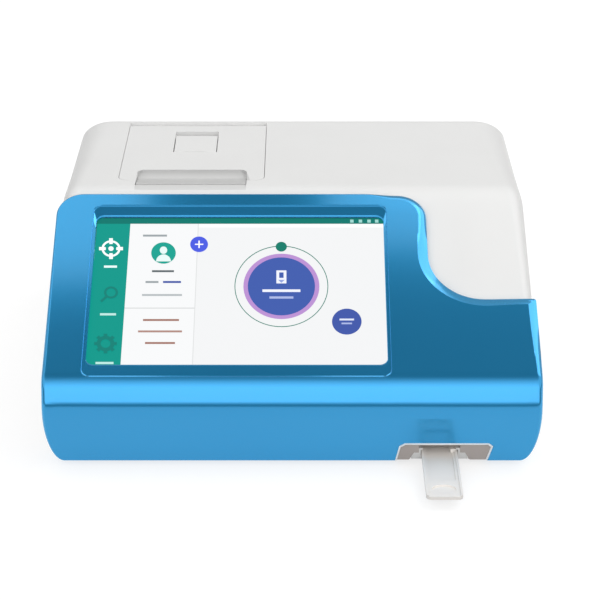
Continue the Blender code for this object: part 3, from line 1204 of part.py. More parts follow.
def upper_cover():
    """The white upper shell with the printer's opening, paper exit and hinge cradle."""
    cover = casing_body("upper_cover", SHELL_SKIN, TOP_BLEND, "white_plastic")
    inner = SHELL_SKIN.deeper(WALL)
    room = casing_body("upper_room", inner, TOP_BLEND - WALL)
    cut(cover, room)
    skin_low = SHELL_TOP - WALL / 2
    half = LID_WIDTH / 2 + SEAM
    pad_half = EXIT_WIDTH / 2 + RIM_WALL
    pad_rear = SLIT_FRONT - TEAR_THICKNESS - SEAM
    pad = block("exit_pad", (LID_CENTRE - pad_half, LID_CENTRE + pad_half),
                (EXIT_FRONT - WALL, pad_rear), (EXIT_HEIGHT - EXIT_FLOOR, skin_low))
    rim = block("lid_rim", (LID_CENTRE - half - RIM_WALL, LID_CENTRE + half + RIM_WALL),
                (LID_FRONT - SEAM - RIM_WALL, HINGE_DEPTH + HINGE_RADIUS + HINGE_GAP + WALL),
                (FLANGE_TOP + SEAM, skin_low))
    cradle = block("hinge_cradle", (LID_CENTRE - half - RIM_WALL, LID_CENTRE + half + RIM_WALL),
                   (HINGE_DEPTH - HINGE_RADIUS - WALL, HINGE_DEPTH + HINGE_RADIUS + HINGE_GAP + WALL),
                   (HINGE_HEIGHT - HINGE_RADIUS - HINGE_GAP - RIM_WALL, skin_low))
    join(cover, pad, rim, cradle)
    posts(cover, BASE_HEIGHT + SEAM, SHELL_TOP - WALL * 0.8)
    opening = prism("lid_opening", "plan", lid_outline(SEAM), HINGE_HEIGHT, SHELL_TOP + OVERRUN)
    rim_room = block("rim_room", (LID_CENTRE - half, LID_CENTRE + half),
                     (LID_FRONT - SEAM, HINGE_DEPTH - HINGE_RADIUS - HINGE_GAP), (0, SHELL_TOP - WALL / 4))
    barrel = rod("barrel_room", "x", LID_CENTRE - half, LID_CENTRE + half, (HINGE_DEPTH, HINGE_HEIGHT),
                 HINGE_RADIUS + HINGE_GAP, sides=ROUND_SIDES * 2)
    swing = block("lid_swing_room", (LID_CENTRE - half, LID_CENTRE + half),
                  (HINGE_DEPTH, HINGE_DEPTH + HINGE_RADIUS + HINGE_GAP),
                  (HINGE_HEIGHT, SHELL_TOP + OVERRUN))
    pin_half = LID_WIDTH / 2 + SEAM * 2 + RIM_WALL / 2
    pin = rod("pin_hole", "x", LID_CENTRE - pin_half, LID_CENTRE + pin_half, (HINGE_DEPTH, HINGE_HEIGHT),
              HINGE_PIN + SEAM, sides=SMALL_SIDES)
    slit_half = TONGUE_WIDTH / 2 + SEAM
    slit = block("slit_room", (LID_CENTRE - slit_half, LID_CENTRE + slit_half),
                 (pad_rear, LID_FRONT), (0, SHELL_TOP + OVERRUN))
    cut(cover, opening, rim_room, barrel, swing, pin, slit, exit_cutter("cover_exit"))
    below = block("below_seam", (-CASE_WIDTH, CASE_WIDTH), (-OVERRUN, CASE_DEPTH + OVERRUN),
                  (-OVERRUN, BASE_HEIGHT + SEAM))
    cut(cover, below, cover_zone("upper_cover_zone", SEAM))
    return cover


def post_centres():
    """The four places where the shells are screwed together."""
    return [(side * POST_CENTRE, depth) for side in (-1, 1) for depth in (POST_FRONT, POST_REAR)]


def posts(shell, low, high):
    """Join screw posts with a through hole or a blind one to a shell."""
    hole_end = BASE_HEIGHT + POST_RADIUS * 4
    for number, centre in enumerate(post_centres()):
        join(shell, rod(f"{shell.name}_post_{number}", "z", low, high, centre, POST_RADIUS,
                        sides=SMALL_SIDES))
        cut(shell, rod(f"{shell.name}_post_hole_{number}", "z", low - OVERRUN, hole_end, centre,
                       SCREW_RADIUS + SEAM, sides=SMALL_SIDES))


def base_shell():
    """The white lower shell: floor, low walls, bosses, vents and the rear opening."""
    base = casing_body("base_shell", SHELL_SKIN, TOP_BLEND, "white_plastic")
    room = casing_body("base_room", SHELL_SKIN.deeper(WALL), TOP_BLEND - WALL)
    front_wall = block("front_wall_limit", (-CASE_WIDTH, CASE_WIDTH),
                       (COVER_WRAP + SEAM + WALL, CASE_DEPTH), (0, POD_TOP))
    keep_inside(room, front_wall)
    cut(base, room)
    floor_top = WALL / 2
    posts(base, floor_top, BASE_HEIGHT)
    for number, centre in enumerate(post_centres()):
        cut(base, rod(f"counterbore_{number}", "z", -OVERRUN, COUNTERBORE, centre,
                      SCREW_HEAD_RADIUS + SEAM, sides=SMALL_SIDES))
    for number, (x, y) in enumerate(board_fixings()):
        join(base, rod(f"board_boss_{number}", "z", floor_top, BOARD_HEIGHT - SEAM, (x, y), BOSS_RADIUS,
                       sides=SMALL_SIDES))
        join(base, rod(f"board_peg_{number}", "z", BOARD_HEIGHT / 2, BOARD_HEIGHT + BOARD_THICKNESS * 1.5, (x, y),
                       SCREW_RADIUS, sides=SMALL_SIDES))
    above = block("above_seam", (-CASE_WIDTH, CASE_WIDTH), (-OVERRUN, CASE_DEPTH + OVERRUN),
                  (BASE_HEIGHT, POD_TOP + OVERRUN))
    bed_half = BED_HALF + SEAM
    bed_slot = block("base_bed_slot", (TRAY_CENTRE - bed_half, TRAY_CENTRE + bed_half),
                     (-OVERRUN, BED_LENGTH + SEAM), (-OVERRUN, WALL + OVERRUN / 4))
    port = block("base_port", (TRAY_CENTRE - bed_half, TRAY_CENTRE + bed_half),
                 (-OVERRUN, COVER_WRAP + WALL + SEAM * 2), (-OVERRUN, PORT_HEIGHT))
    opening = block("rear_opening", (PLATE_LEFT + PLATE_LAP, PLATE_RIGHT - PLATE_LAP),
                    (CASE_DEPTH - WALL - OVERRUN, CASE_DEPTH + OVERRUN),
                    (PLATE_BOTTOM + PLATE_LAP, PLATE_TOP - PLATE_LAP))
    cut(base, above, bed_slot, port, opening)
    first = VENT_DEPTH - VENT_PITCH * (VENT_COUNT - 1) / 2
    for number in range(VENT_COUNT):
        middle = first + number * VENT_PITCH
        cut(base, block(f"vent_{number}", (VENT_CENTRE - VENT_LENGTH, VENT_CENTRE + VENT_LENGTH),
                        (middle - VENT_WIDTH / 2, middle + VENT_WIDTH / 2), (-OVERRUN, WALL + OVERRUN / 2)))
    cut(base, cover_zone("base_cover_zone", SEAM))
    return base


def board_fixings():
    """The four screw places of the main board."""
    return [(x, y) for x in (BOARD_LEFT + BOARD_INSET, BOARD_RIGHT - BOARD_INSET)
            for y in (BOARD_FRONT + BOARD_INSET, BOARD_REAR - BOARD_INSET)]


def screw(name, centre, head_low, head_high, tip):
    """A pan head screw pointing up to its tip."""
    shank = rod(name, "z", (head_low + head_high) / 2, tip, centre, SCREW_RADIUS, "steel",
                SMALL_SIDES)
    head = rod(name + "_head", "z", head_low, head_high, centre, SCREW_HEAD_RADIUS,
               sides=SMALL_SIDES)
    return join(shank, head)


def electronics():
    """The main board with its processor cooler and screws."""
    board_top = BOARD_HEIGHT + BOARD_THICKNESS
    board = block("main_board", (BOARD_LEFT, BOARD_RIGHT), (BOARD_FRONT, BOARD_REAR),
                  (BOARD_HEIGHT, board_top), "board")
    for number, centre in enumerate(board_fixings()):
        cut(board, rod(f"board_hole_{number}", "z", 0, board_top + OVERRUN, centre, SCREW_RADIUS + SEAM,
                       sides=SMALL_SIDES))
    middle = ((BOARD_LEFT + BOARD_RIGHT) / 2, (BOARD_FRONT + BOARD_REAR) / 2)
    chip_half, chip_height = SINK_HALF * 0.8, BOARD_THICKNESS
    for number, shift_share in enumerate((-0.28, 0.0, 0.28)):
        x = middle[0] + (BOARD_RIGHT - BOARD_LEFT) * shift_share
        join(board, block(f"chip_{number}", (x - chip_half, x + chip_half),
                          (middle[1] - chip_half, middle[1] + chip_half),
                          (BOARD_HEIGHT + BOARD_THICKNESS / 2, board_top + chip_height)))
    cooler_low = board_top + chip_height + SEAM
    cooler = block("processor_cooler", (middle[0] - SINK_HALF, middle[0] + SINK_HALF),
                   (middle[1] - SINK_HALF, middle[1] + SINK_HALF), (cooler_low, cooler_low + SINK_FIN_REACH),
                   "aluminium")
    pitch = (SINK_HALF * 2 - SINK_FIN) / (SINK_FINS - 1)
    for number in range(SINK_FINS - 1):
        start = middle[1] - SINK_HALF + SINK_FIN + number * pitch
        cut(cooler, block(f"cooler_gap_{number}", (middle[0] - SINK_HALF * 2, middle[0] + SINK_HALF * 2),
                          (start, start + pitch - SINK_FIN),
                          (cooler_low + SINK_BASE, cooler_low + SINK_FIN_REACH + OVERRUN)))


def socket(name, centre, width, height, low, finish, rooms):
    """A socket shell on the board with one or more rooms open to the rear.

    Each room is (left, right, bottom, top) measured from the socket's centre and foot.
    """
    rear = CASE_DEPTH - WALL / 2
    made = block(name, (centre - width / 2, centre + width / 2), (PORT_FRONT, rear), (low, low + height), finish)
    for number, (left, right, bottom, top) in enumerate(rooms):
        cut(made, block(f"{name}_room_{number}", (centre + left, centre + right),
                        (PORT_FRONT + WALL, rear + OVERRUN), (low + bottom, low + top)))
    return made


def rear_sockets():
    """The rear plate with its sockets, inlet and mains style rocker switch."""
    low = BOARD_HEIGHT + BOARD_THICKNESS + SEAM
    wall = SOCKET_WALL
    usb_width, usb_height = 0.0142, 0.0156
    lan_width, lan_height = 0.0160, 0.0135
    serial_width, serial_height = 0.0308, 0.0125
    inlet_width, inlet_height = 0.0110, 0.0112
    sizes = {
        "usb_ports": (USB_CENTRE, usb_width, usb_height),
        "lan_port": (LAN_CENTRE, lan_width, lan_height),
        "serial_port": (SERIAL_CENTRE, serial_width, serial_height),
        "power_inlet": (INLET_CENTRE, inlet_width, inlet_height),
    }
    usb_room = (usb_height - wall * 3) / 2
    half = usb_width / 2 - wall
    socket("usb_ports", USB_CENTRE, usb_width, usb_height, low, "steel",
           [(-half, half, wall, wall + usb_room), (-half, half, wall * 2 + usb_room, usb_height - wall)])
    lan_half = lan_width / 2 - wall * 2
    socket("lan_port", LAN_CENTRE, lan_width, lan_height, low, "steel",
           [(-lan_half, lan_half, wall * 3, lan_height - wall * 2)])
    serial = socket("serial_port", SERIAL_CENTRE, serial_width, serial_height, low, "steel", [])
    shell_half = serial_width * 0.28
    rear = CASE_DEPTH - WALL / 2
    join(serial, prism("serial_shell", "front",
                       rounded([Vector((SERIAL_CENTRE - shell_half * 0.88, low + serial_height * 0.18)),
                                Vector((SERIAL_CENTRE + shell_half * 0.88, low + serial_height * 0.18)),
                                Vector((SERIAL_CENTRE + shell_half, low + serial_height * 0.82)),
                                Vector((SERIAL_CENTRE - shell_half, low + serial_height * 0.82))],
                               (wall,) * 4), rear - WALL, CASE_DEPTH))
    inlet = socket("power_inlet", INLET_CENTRE, inlet_width, inlet_height, low, "dark_plastic", [])
    cut(inlet, rod("inlet_bore", "y", PORT_FRONT + WALL, rear + OVERRUN,
                   (INLET_CENTRE, low + inlet_height / 2), inlet_height / 2 - wall * 2))
    join(inlet, rod("inlet_pin", "y", PORT_FRONT + WALL / 2, rear - WALL / 2,
                    (INLET_CENTRE, low + inlet_height / 2), wall, sides=SMALL_SIDES))

    plate_front = CASE_DEPTH - WALL - SEAM - PLATE_THICKNESS
    plate = block("rear_plate", (PLATE_LEFT, PLATE_RIGHT), (plate_front, plate_front + PLATE_THICKNESS),
                  (PLATE_BOTTOM, PLATE_TOP), "aluminium")
    for name, (centre, width, height) in sizes.items():
        cut(plate, block(f"{name}_hole", (centre - width / 2 - SEAM, centre + width / 2 + SEAM),
                         (plate_front - OVERRUN, CASE_DEPTH), (low - SEAM, low + height + SEAM)))
    switch_half_x, switch_half_z = 0.0105, 0.0075
    flange = WALL / 2
    body_front, body_rear = PORT_FRONT, plate_front + PLATE_THICKNESS + SEAM + flange
    cut(plate, block("switch_hole", (SWITCH_CENTRE - switch_half_x, SWITCH_CENTRE + switch_half_x),
                     (plate_front - OVERRUN, CASE_DEPTH),
                     (SWITCH_HEIGHT - switch_half_z, SWITCH_HEIGHT + switch_half_z)))
    body_x = (SWITCH_CENTRE - switch_half_x + SEAM, SWITCH_CENTRE + switch_half_x - SEAM)
    body_z = (SWITCH_HEIGHT - switch_half_z + SEAM, SWITCH_HEIGHT + switch_half_z - SEAM)
    housing = block("power_switch", body_x, (body_front, body_rear), body_z, "dark_plastic")
    join(housing, block("switch_flange", (body_x[0] - flange, body_x[1] + flange), (body_rear - flange, body_rear),
                        (body_z[0] - flange, body_z[1] + flange)))
    room_x = (body_x[0] + wall, body_x[1] - wall)
    room_z = (body_z[0] + wall, body_z[1] - wall)
    cut(housing, block("switch_room", room_x, (body_front + WALL, body_rear + OVERRUN), room_z))
    pin_depth = body_rear - switch_half_z * 0.75
    rocker_half = (room_x[1] - room_x[0]) / 2 - SEAM
    face = body_rear - pin_depth
    dish = face * 0.7
    outline = [Vector((-rocker_half, 0)), Vector((-rocker_half * 0.5, -face * 0.45)),
               Vector((rocker_half * 0.5, -face * 0.45)), Vector((rocker_half, 0)),
               Vector((rocker_half * 0.97, face)), Vector((0, dish)), Vector((-rocker_half * 0.97, face))]
    shrink_share = 0.93
    rocker = prism("power_rocker", "plan", [point * shrink_share for point in outline],
                   room_z[0] + SEAM - SWITCH_HEIGHT, room_z[1] - SEAM - SWITCH_HEIGHT, "dark_plastic")
    rocker.location = (SWITCH_CENTRE, pin_depth, SWITCH_HEIGHT)


def speaker():
    """A small round speaker over the floor: basket, magnet and rim."""
    low = WALL + SEAM
    profile = [(0, low + SPEAKER_HEIGHT), (SPEAKER_RADIUS * 0.5, low + SPEAKER_HEIGHT),
               (SPEAKER_RADIUS * 0.5, low + SPEAKER_HEIGHT * 0.55), (SPEAKER_RADIUS * 0.88, low + SPEAKER_HEIGHT * 0.25),
               (SPEAKER_RADIUS, low + SPEAKER_HEIGHT * 0.25), (SPEAKER_RADIUS, low),
               (SPEAKER_RADIUS * 0.85, low), (SPEAKER_RADIUS * 0.3, low + SPEAKER_HEIGHT * 0.2),
               (0, low + SPEAKER_HEIGHT * 0.12)]
    made = turned("speaker", profile, ROUND_SIDES, "dark_plastic")
    made.location = (SPEAKER_CENTRE, SPEAKER_DEPTH, 0)


def underside():
    """The rubber feet and the screws that hold the shells together."""
    places = [(x, y) for x in (-FOOT_CENTRE, FOOT_CENTRE) for y in (FOOT_FRONT, FOOT_REAR)]
    for number, centre in enumerate(places):
        rod(f"rubber_foot_{number + 1}", "z", -FOOT_HEIGHT, -SEAM, centre, FOOT_RADIUS * 0.9, "rubber",
            top=FOOT_RADIUS)
    for number, centre in enumerate(post_centres()):
        head_top = COUNTERBORE - SEAM
        screw(f"base_screw_{number + 1}", centre, head_top - SCREW_HEAD, head_top,
              BASE_HEIGHT + POST_RADIUS)


base_shell()
upper_cover()
front_cover()
display()
card_port_bezel()
guide_bed()
card_tray()
tray_drive()
optics()
printer_cover()
lid_fittings()
paper_bay()
print_mechanism()
electronics()
rear_sockets()
speaker()
underside()
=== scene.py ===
"""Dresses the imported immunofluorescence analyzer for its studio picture.

The casing, its tray, the touch screen's page and the printer's lid get finished surfaces
and procedural finishes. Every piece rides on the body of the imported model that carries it.
Lengths are in metres. "Casing frame" means X to the right, Y back from the lower front
face and Z up from the underside of the casing.
"""
from __future__ import annotations

import json
import logging
from contextlib import contextmanager
from dataclasses import dataclass, field
from enum import Enum
from math import atan, cos, pi, radians, sin, tan
from typing import Any, Iterable, Iterator, Sequence

import bmesh
import bpy
import numpy as np
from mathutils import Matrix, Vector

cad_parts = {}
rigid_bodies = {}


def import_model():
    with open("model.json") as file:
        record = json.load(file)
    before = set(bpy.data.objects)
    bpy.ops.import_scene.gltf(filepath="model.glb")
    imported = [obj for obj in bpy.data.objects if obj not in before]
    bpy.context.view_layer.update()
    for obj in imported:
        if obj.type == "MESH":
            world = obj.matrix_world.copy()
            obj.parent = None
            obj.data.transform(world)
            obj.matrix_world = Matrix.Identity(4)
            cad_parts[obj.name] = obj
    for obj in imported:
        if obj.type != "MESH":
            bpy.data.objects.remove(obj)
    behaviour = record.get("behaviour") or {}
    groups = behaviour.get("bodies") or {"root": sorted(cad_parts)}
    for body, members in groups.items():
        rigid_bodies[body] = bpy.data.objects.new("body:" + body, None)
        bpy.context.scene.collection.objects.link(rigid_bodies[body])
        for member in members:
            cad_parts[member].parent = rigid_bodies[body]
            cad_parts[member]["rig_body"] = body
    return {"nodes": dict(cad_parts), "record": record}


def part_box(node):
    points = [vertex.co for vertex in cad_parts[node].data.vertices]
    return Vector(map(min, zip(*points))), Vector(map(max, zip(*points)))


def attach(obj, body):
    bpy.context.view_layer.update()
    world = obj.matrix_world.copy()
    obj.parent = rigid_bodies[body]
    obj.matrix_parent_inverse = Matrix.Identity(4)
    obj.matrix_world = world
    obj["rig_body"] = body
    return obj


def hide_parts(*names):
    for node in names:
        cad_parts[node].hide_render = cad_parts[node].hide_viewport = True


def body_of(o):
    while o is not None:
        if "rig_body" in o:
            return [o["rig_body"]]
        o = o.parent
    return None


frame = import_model()

log = logging.getLogger("analyzer")
Array = np.ndarray
Colour = tuple[float, float, float]

MM = 0.001
FRONT_Y = -0.0995
FOOT_HEIGHT = 0.003
PHOTO_SIZE = 600
ROUND_SEEN = 0.87
SAME_POINT = 0.002 * MM
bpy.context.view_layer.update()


class Body(Enum):
    """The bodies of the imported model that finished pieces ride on."""

    CASING = "casing"
    TRAY = "tray"
    LID = "lid"
    TAB = "tab"


def to_world(points: Array) -> Array:
    """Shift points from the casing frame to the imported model's frame.

    Args:
        points: rows of x, y, z in the casing frame.

    Returns:
        The same rows with the casing's place added.
    """
    return np.asarray(points, float) + np.array([0.0, FRONT_Y, FOOT_HEIGHT])


def srgb(code: str) -> Colour:
    """Linear colour of a six digit hex code, by the usual display curve."""
    levels = np.array([int(code[k:k + 2], 16) for k in (0, 2, 4)]) / 255.0
    linear = np.where(levels <= 0.04045, levels / 12.92, ((levels + 0.055) / 1.055) ** 2.4)
    return (float(linear[0]), float(linear[1]), float(linear[2]))


def link(name: str, data: Any) -> bpy.types.Object:
    """Put an object round a mesh, a lamp or a camera into the scene."""
    made = bpy.data.objects.new(name, data)
    bpy.context.scene.collection.objects.link(made)
    return made


@contextmanager
def editing(mesh: bpy.types.Mesh) -> Iterator[bmesh.types.BMesh]:
    """A mesh opened for editing, written back at the end."""
    form = bmesh.new()
    form.from_mesh(mesh)
    yield form
    form.to_mesh(mesh)
    form.free()


def places(mesh: bpy.types.Mesh) -> Array:
    """A mesh's points as rows of x, y, z."""
    flat = np.zeros(len(mesh.vertices) * 3)
    mesh.vertices.foreach_get("co", flat)
    return flat.reshape(-1, 3)


# Finishes

class Graph:
    """A thin helper round the node tree of one material or of the world."""

    def __init__(self, name: str, world: bool = False) -> None:
        """Start an empty material, or the world, of the given name with its output node."""
        store, output = (bpy.data.worlds, "World") if world else (bpy.data.materials, "Material")
        self.owner = store.new(name)
        self.owner.use_nodes = True
        self.nodes = self.owner.node_tree.nodes
        self.links = self.owner.node_tree.links
        self.nodes.clear()
        self.output = self.nodes.new("ShaderNodeOutput" + output)

    def add(self, kind: str, inputs: dict[str, Any] | None = None, **settings: Any) -> Any:
        """Add a node, set its properties, and fill or link its inputs.

        Args:
            kind: the node's type without its "ShaderNode" prefix.
            inputs: socket name to a value, or to another node's output.
            settings: properties of the node itself.

        Returns:
            The new node.
        """
        node = self.nodes.new("ShaderNode" + kind)
        for key, value in settings.items():
            setattr(node, key, value)
        for key, value in (inputs or {}).items():
            socket = node.inputs[key]
            if isinstance(value, bpy.types.NodeSocket):
                self.links.new(value, socket)
            else:
                socket.default_value = value
        return node

    def place(self, scale: tuple[float, float, float] = (1, 1, 1)) -> Any:
        """Object coordinates, stretched by a scale, as a socket."""
        where = self.add("TexCoord").outputs["Object"]
        return self.add("Mapping", {"Vector": where, "Scale": scale}).outputs["Vector"]

    def ramp(self, factor: Any, stops: Sequence[tuple[float, Colour]]) -> Any:
        """A colour ramp over a factor, as a socket."""
        node = self.add("ValToRGB", {"Fac": factor})
        marks = node.color_ramp.elements
        while len(marks) < len(stops):
            marks.new(0.5)
        for mark, (at, colour) in zip(marks, stops):
            mark.position = at
            mark.color = (*colour, 1)
        return node.outputs["Color"]

    def noise(self, where: Any, scale: float, detail: float) -> Any:
        """A noise's factor, as a socket."""
        made = self.add("TexNoise", {"Vector": where, "Scale": scale, "Detail": detail})
        return made.outputs["Fac"]

    def span(self, factor: Any, low: float, high: float) -> Any:
        """A factor stretched between two values, as a socket."""
        made = self.add("MapRange", {"Value": factor, "To Min": low, "To Max": high})
        return made.outputs["Result"]

    def bump(self, height: Any, strength: float, distance: float) -> Any:
        """A normal bumped by a height, as a socket."""
        made = self.add("Bump", {"Height": height, "Strength": strength, "Distance": distance})
        return made.outputs["Normal"]

    def math(self, operation: str, *values: Any) -> Any:
        """One arithmetic step on sockets and numbers, as a socket."""
        return self.add("Math", dict(enumerate(values)), operation=operation).outputs[0]

    def principled(self, inputs: dict[str, Any]) -> bpy.types.Material:
        """Finish with the principled shader: inputs are values or sockets by name."""
        return self.finish(self.add("BsdfPrincipled", inputs))

    def finish(self, shader: Any) -> Any:
        """Send a shader's first output to the surface; returns the material or the world."""
        self.links.new(shader.outputs[0], self.output.inputs["Surface"])
        return self.owner


def shaded(colour: Colour, factor: float) -> Colour:
    """A colour made lighter or darker by a factor."""
    return (colour[0] * factor, colour[1] * factor, colour[2] * factor)


@dataclass(frozen=True)
class Hollow:
    """Painted shade in a hollow of a moulding, where little light reaches, darker by its depth front
    to back.
    """

    centre: float
    half: float
    front: float
    rear: float
    top: float
    shades: tuple[tuple[float, float], ...]

    def shade(self, graph: Graph) -> Any:
        """A grey factor of painted shade as a socket: 1 outside the hollow's box, the ramp's grey
        inside.
        """
        axes = graph.add("SeparateXYZ", {0: graph.place()})
        middle = (self.front + self.rear) / 2
        inside = graph.math("COMPARE", axes.outputs["X"], self.centre, self.half)
        for test in (graph.math("COMPARE", axes.outputs["Y"], middle, self.rear - middle),
                     graph.math("LESS_THAN", axes.outputs["Z"], self.top)):
            inside = graph.math("MULTIPLY", inside, test)
        along = graph.add("MapRange", {"Value": axes.outputs["Y"], "From Min": self.front,
                                       "From Max": self.rear})
        grey = graph.ramp(along.outputs["Result"], [(at, (v, v, v)) for at, v in self.shades])
        return graph.add("Mix", {"Factor": inside, "A": (1, 1, 1, 1), "B": grey},
                         data_type="RGBA").outputs["Result"]


@dataclass(frozen=True)
class Moulded:
    """A moulded plastic: fine spark-eroded grain, faint clouding, softly varied gloss."""

    name: str
    colour: Colour
    roughness: float = 0.42
    grain_size: float = 0.35 * MM
    grain_depth: float = 0.06
    clouding: float = 0.008
    cloud_size: float = 30.0 * MM
    gloss_spread: float = 0.05
    hollow: Hollow | None = None

    def make(self) -> bpy.types.Material:
        """Build the plastic: noise for grain into bump, slow noise into colour and gloss, and painted
        shade in the hollow where one is given.
        """
        graph = Graph(self.name)
        where = graph.place()
        cloud = graph.noise(where, 1 / self.cloud_size, 3.0)
        grain = graph.noise(where, 1 / self.grain_size, 2.0)
        colour = graph.ramp(cloud, [(0.3, shaded(self.colour, 1 - self.clouding)),
                                    (0.7, shaded(self.colour, 1 + self.clouding))])
        # painted shade: the colour is darkened inside the hollow's box
        if self.hollow:
            colour = graph.add("VectorMath", {0: colour, 1: self.hollow.shade(graph)},
                               operation="MULTIPLY").outputs[0]
        gloss = graph.span(grain, self.roughness - self.gloss_spread,
                           self.roughness + self.gloss_spread)
        return graph.principled({"Base Color": colour, "Roughness": gloss,
                                 "Normal": graph.bump(grain, self.grain_depth, 0.1 * MM)})


@dataclass(frozen=True)
class PearlBlue:
    """A glossy pearl blue: flakes under a clear coat, with a painted sheen that makes it lighter where
    the surface turns away.
    """

    name: str = "pearl_blue"
    deep: Colour = srgb("1390cb")
    # the lighter blue is a painted sheen for where the surface turns away
    light: Colour = srgb("34b0e6")
    flake_size: float = 0.22 * MM
    cloud_size: float = 80.0 * MM
    drift: float = 0.05

    def make(self) -> bpy.types.Material:
        """Build the lacquer: the facing angle mixes the two blues as a painted sheen, flakes tilt the
        normal a little.
        """
        graph = Graph(self.name)
        where = graph.place()
        flakes = graph.add("TexVoronoi", {"Vector": where, "Scale": 1 / self.flake_size})
        cloud = graph.noise(where, 1 / self.cloud_size, 2.0)
        normal = graph.bump(flakes.outputs["Distance"], 0.02, 0.05 * MM)
        turn = graph.add("LayerWeight", {"Blend": 0.32, "Normal": normal})
        share = graph.math("ADD", turn.outputs["Facing"], graph.span(cloud, -self.drift, self.drift))
        # painted sheen: lighter blue towards grazing angles
        colour = graph.ramp(share, [(0.0, self.deep), (0.75, self.light)])
        return graph.principled({
            "Base Color": colour, "Metallic": 0.7, "Roughness": 0.13, "Coat Weight": 0.75,
            "Coat Roughness": 0.08, "Normal": normal})


@dataclass(frozen=True)
class Metal:
    """A drawn or plated metal with fine streaks along one axis."""

    name: str
    colour: Colour
    roughness: float = 0.32
    streak: tuple[float, float, float] = (40.0, 900.0, 900.0)

    def make(self) -> bpy.types.Material:
        """Build the metal: stretched noise drives the gloss and a shallow bump."""
        graph = Graph(self.name)
        lines = graph.noise(graph.place(self.streak), 1.0, 4.0)
        colour = graph.ramp(lines, [(0.25, shaded(self.colour, 0.9)), (0.75, self.colour)])
        return graph.principled({
            "Base Color": colour, "Metallic": 1.0,
            "Roughness": graph.span(lines, self.roughness - 0.08, self.roughness + 0.10),
            "Normal": graph.bump(lines, 0.08, 0.05 * MM)})


@dataclass(frozen=True)
class CircuitBoard:
    """A lacquered board: copper runs show through as slightly lighter, raised lines."""

    name: str = "circuit_board"
    mask: Colour = srgb("1b5a35")
    run_pitch: float = 1.3 * MM

    def make(self) -> bpy.types.Material:
        """Build the board: brick edges stand for runs, raised a little."""
        graph = Graph(self.name)
        runs = graph.add("TexBrick", {"Vector": graph.place(), "Scale": 1 / (self.run_pitch * 12),
                                      "Mortar Size": 0.02, "Color1": (0, 0, 0, 1),
                                      "Color2": (0.1, 0.1, 0.1, 1), "Mortar": (1, 1, 1, 1)})
        colour = graph.ramp(runs.outputs["Fac"], [(0.0, self.mask), (1.0, shaded(self.mask, 1.8))])
        return graph.principled({
            "Base Color": colour, "Roughness": 0.35, "Coat Weight": 0.4,
            "Normal": graph.bump(runs.outputs["Fac"], 0.3, 0.05 * MM)})


@dataclass(frozen=True)
class ClearOptic:
    """Optical glass with a faint coating tint."""

    name: str
    tint: Colour

    def make(self) -> bpy.types.Material:
        """Build the glass: transmission with a tint that shifts with the facing angle."""
        graph = Graph(self.name)
        turn = graph.add("LayerWeight", {"Blend": 0.4})
        colour = graph.ramp(turn.outputs["Facing"], [(0.0, self.tint), (1.0, (0.9, 0.95, 1.0))])
        return graph.principled({"Base Color": colour, "Roughness": 0.03,
                                 "Transmission Weight": 0.85, "IOR": 1.5})


@dataclass(frozen=True)
class PaperFibre:
    """Thermal paper: bright and matt, with a fine fibre."""

    name: str = "thermal_paper"
    fibre: float = 0.5 * MM

    def make(self) -> bpy.types.Material:
        """Build the paper: fibre noise into colour and a shallow bump."""
        graph = Graph(self.name)
        fibre = graph.noise(graph.place(), 1 / self.fibre, 4.0)
        colour = graph.ramp(fibre, [(0.3, srgb("e4e3df")), (0.7, srgb("f4f3ef"))])
        return graph.principled({"Base Color": colour, "Roughness": 0.85,
                                 "Normal": graph.bump(fibre, 0.1, 0.05 * MM)})


@dataclass(frozen=True)
class LitPage:
    """A lit display page: its colours come from the piece's own colour attribute."""

    name: str = "lit_page"
    attribute: str = "page_colour"
    strength: float = 1.06

    def make(self) -> bpy.types.Material:
        """Build the page: emission in the attribute's colour under a smooth cover layer."""
        graph = Graph(self.name)
        page = graph.add("Attribute", attribute_name=self.attribute).outputs["Color"]
        return graph.principled({
            "Base Color": (0.01, 0.01, 0.01, 1), "Roughness": 0.3, "Specular IOR Level": 0.03,
            "Emission Color": page, "Emission Strength": self.strength})


# Surfaces

def smooth(share: Array) -> Array:
    """Ease from 0 to 1 with level ends: 3t^2 - 2t^3, held outside the range."""
    held = np.clip(share, 0.0, 1.0)
    return held * held * (3 - 2 * held)


def grid_quads(rows: int, columns: int, closed: bool = False) -> Array:
    """Corner numbers of the cells of a grid stored row by row.

    Args:
        rows: number of rows of points.
        columns: number of points in a row.
        closed: whether the last column joins the first.

    Returns:
        One line of four corner numbers for each cell.
    """
    row = np.arange(rows - 1)[:, None]
    column = np.arange(columns if closed else columns - 1)[None, :]
    beside = (column + 1) % columns
    cells = [row * columns + column, row * columns + beside,
             (row + 1) * columns + beside, (row + 1) * columns + column]
    return np.stack(np.broadcast_arrays(*cells), axis=-1).reshape(-1, 4)


def new_piece(name: str, points: Array, faces: Array, material: bpy.types.Material,
              body: Body, crease: float = 40.0) -> bpy.types.Object:
    """Make a smooth shaded mesh from whole arrays and let it ride on a body.

    Args:
        name: the piece's name.
        points: rows of x, y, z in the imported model's frame.
        faces: rows of corner numbers.
        material: the finish.
        body: the body that carries the piece.
        crease: angle in degrees above which an edge stays sharp.

    Returns:
        The linked object, at the origin and unturned.
    """
    mesh = bpy.data.meshes.new(name)
    mesh.from_pydata(np.asarray(points).tolist(), [], [list(face) for face in faces])
    return dress(link(name, mesh), material, body, crease)


def dress(made: bpy.types.Object, material: bpy.types.Material, body: Body,
          crease: float = 40.0) -> bpy.types.Object:
    """Turn the normals outwards, shade smooth, add the finish and ride on a body."""
    with editing(made.data) as form:
        bmesh.ops.remove_doubles(form, verts=form.verts, dist=SAME_POINT)
        bmesh.ops.recalc_face_normals(form, faces=form.faces)
    made.data.materials.clear()
    made.data.materials.append(material)
    made.data.shade_smooth()
    made.data.set_sharp_from_angle(angle=radians(crease))
    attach(made, body.value)
    log.info("%s: %d faces on %s", made.name, len(made.data.polygons), body.value)
    return made


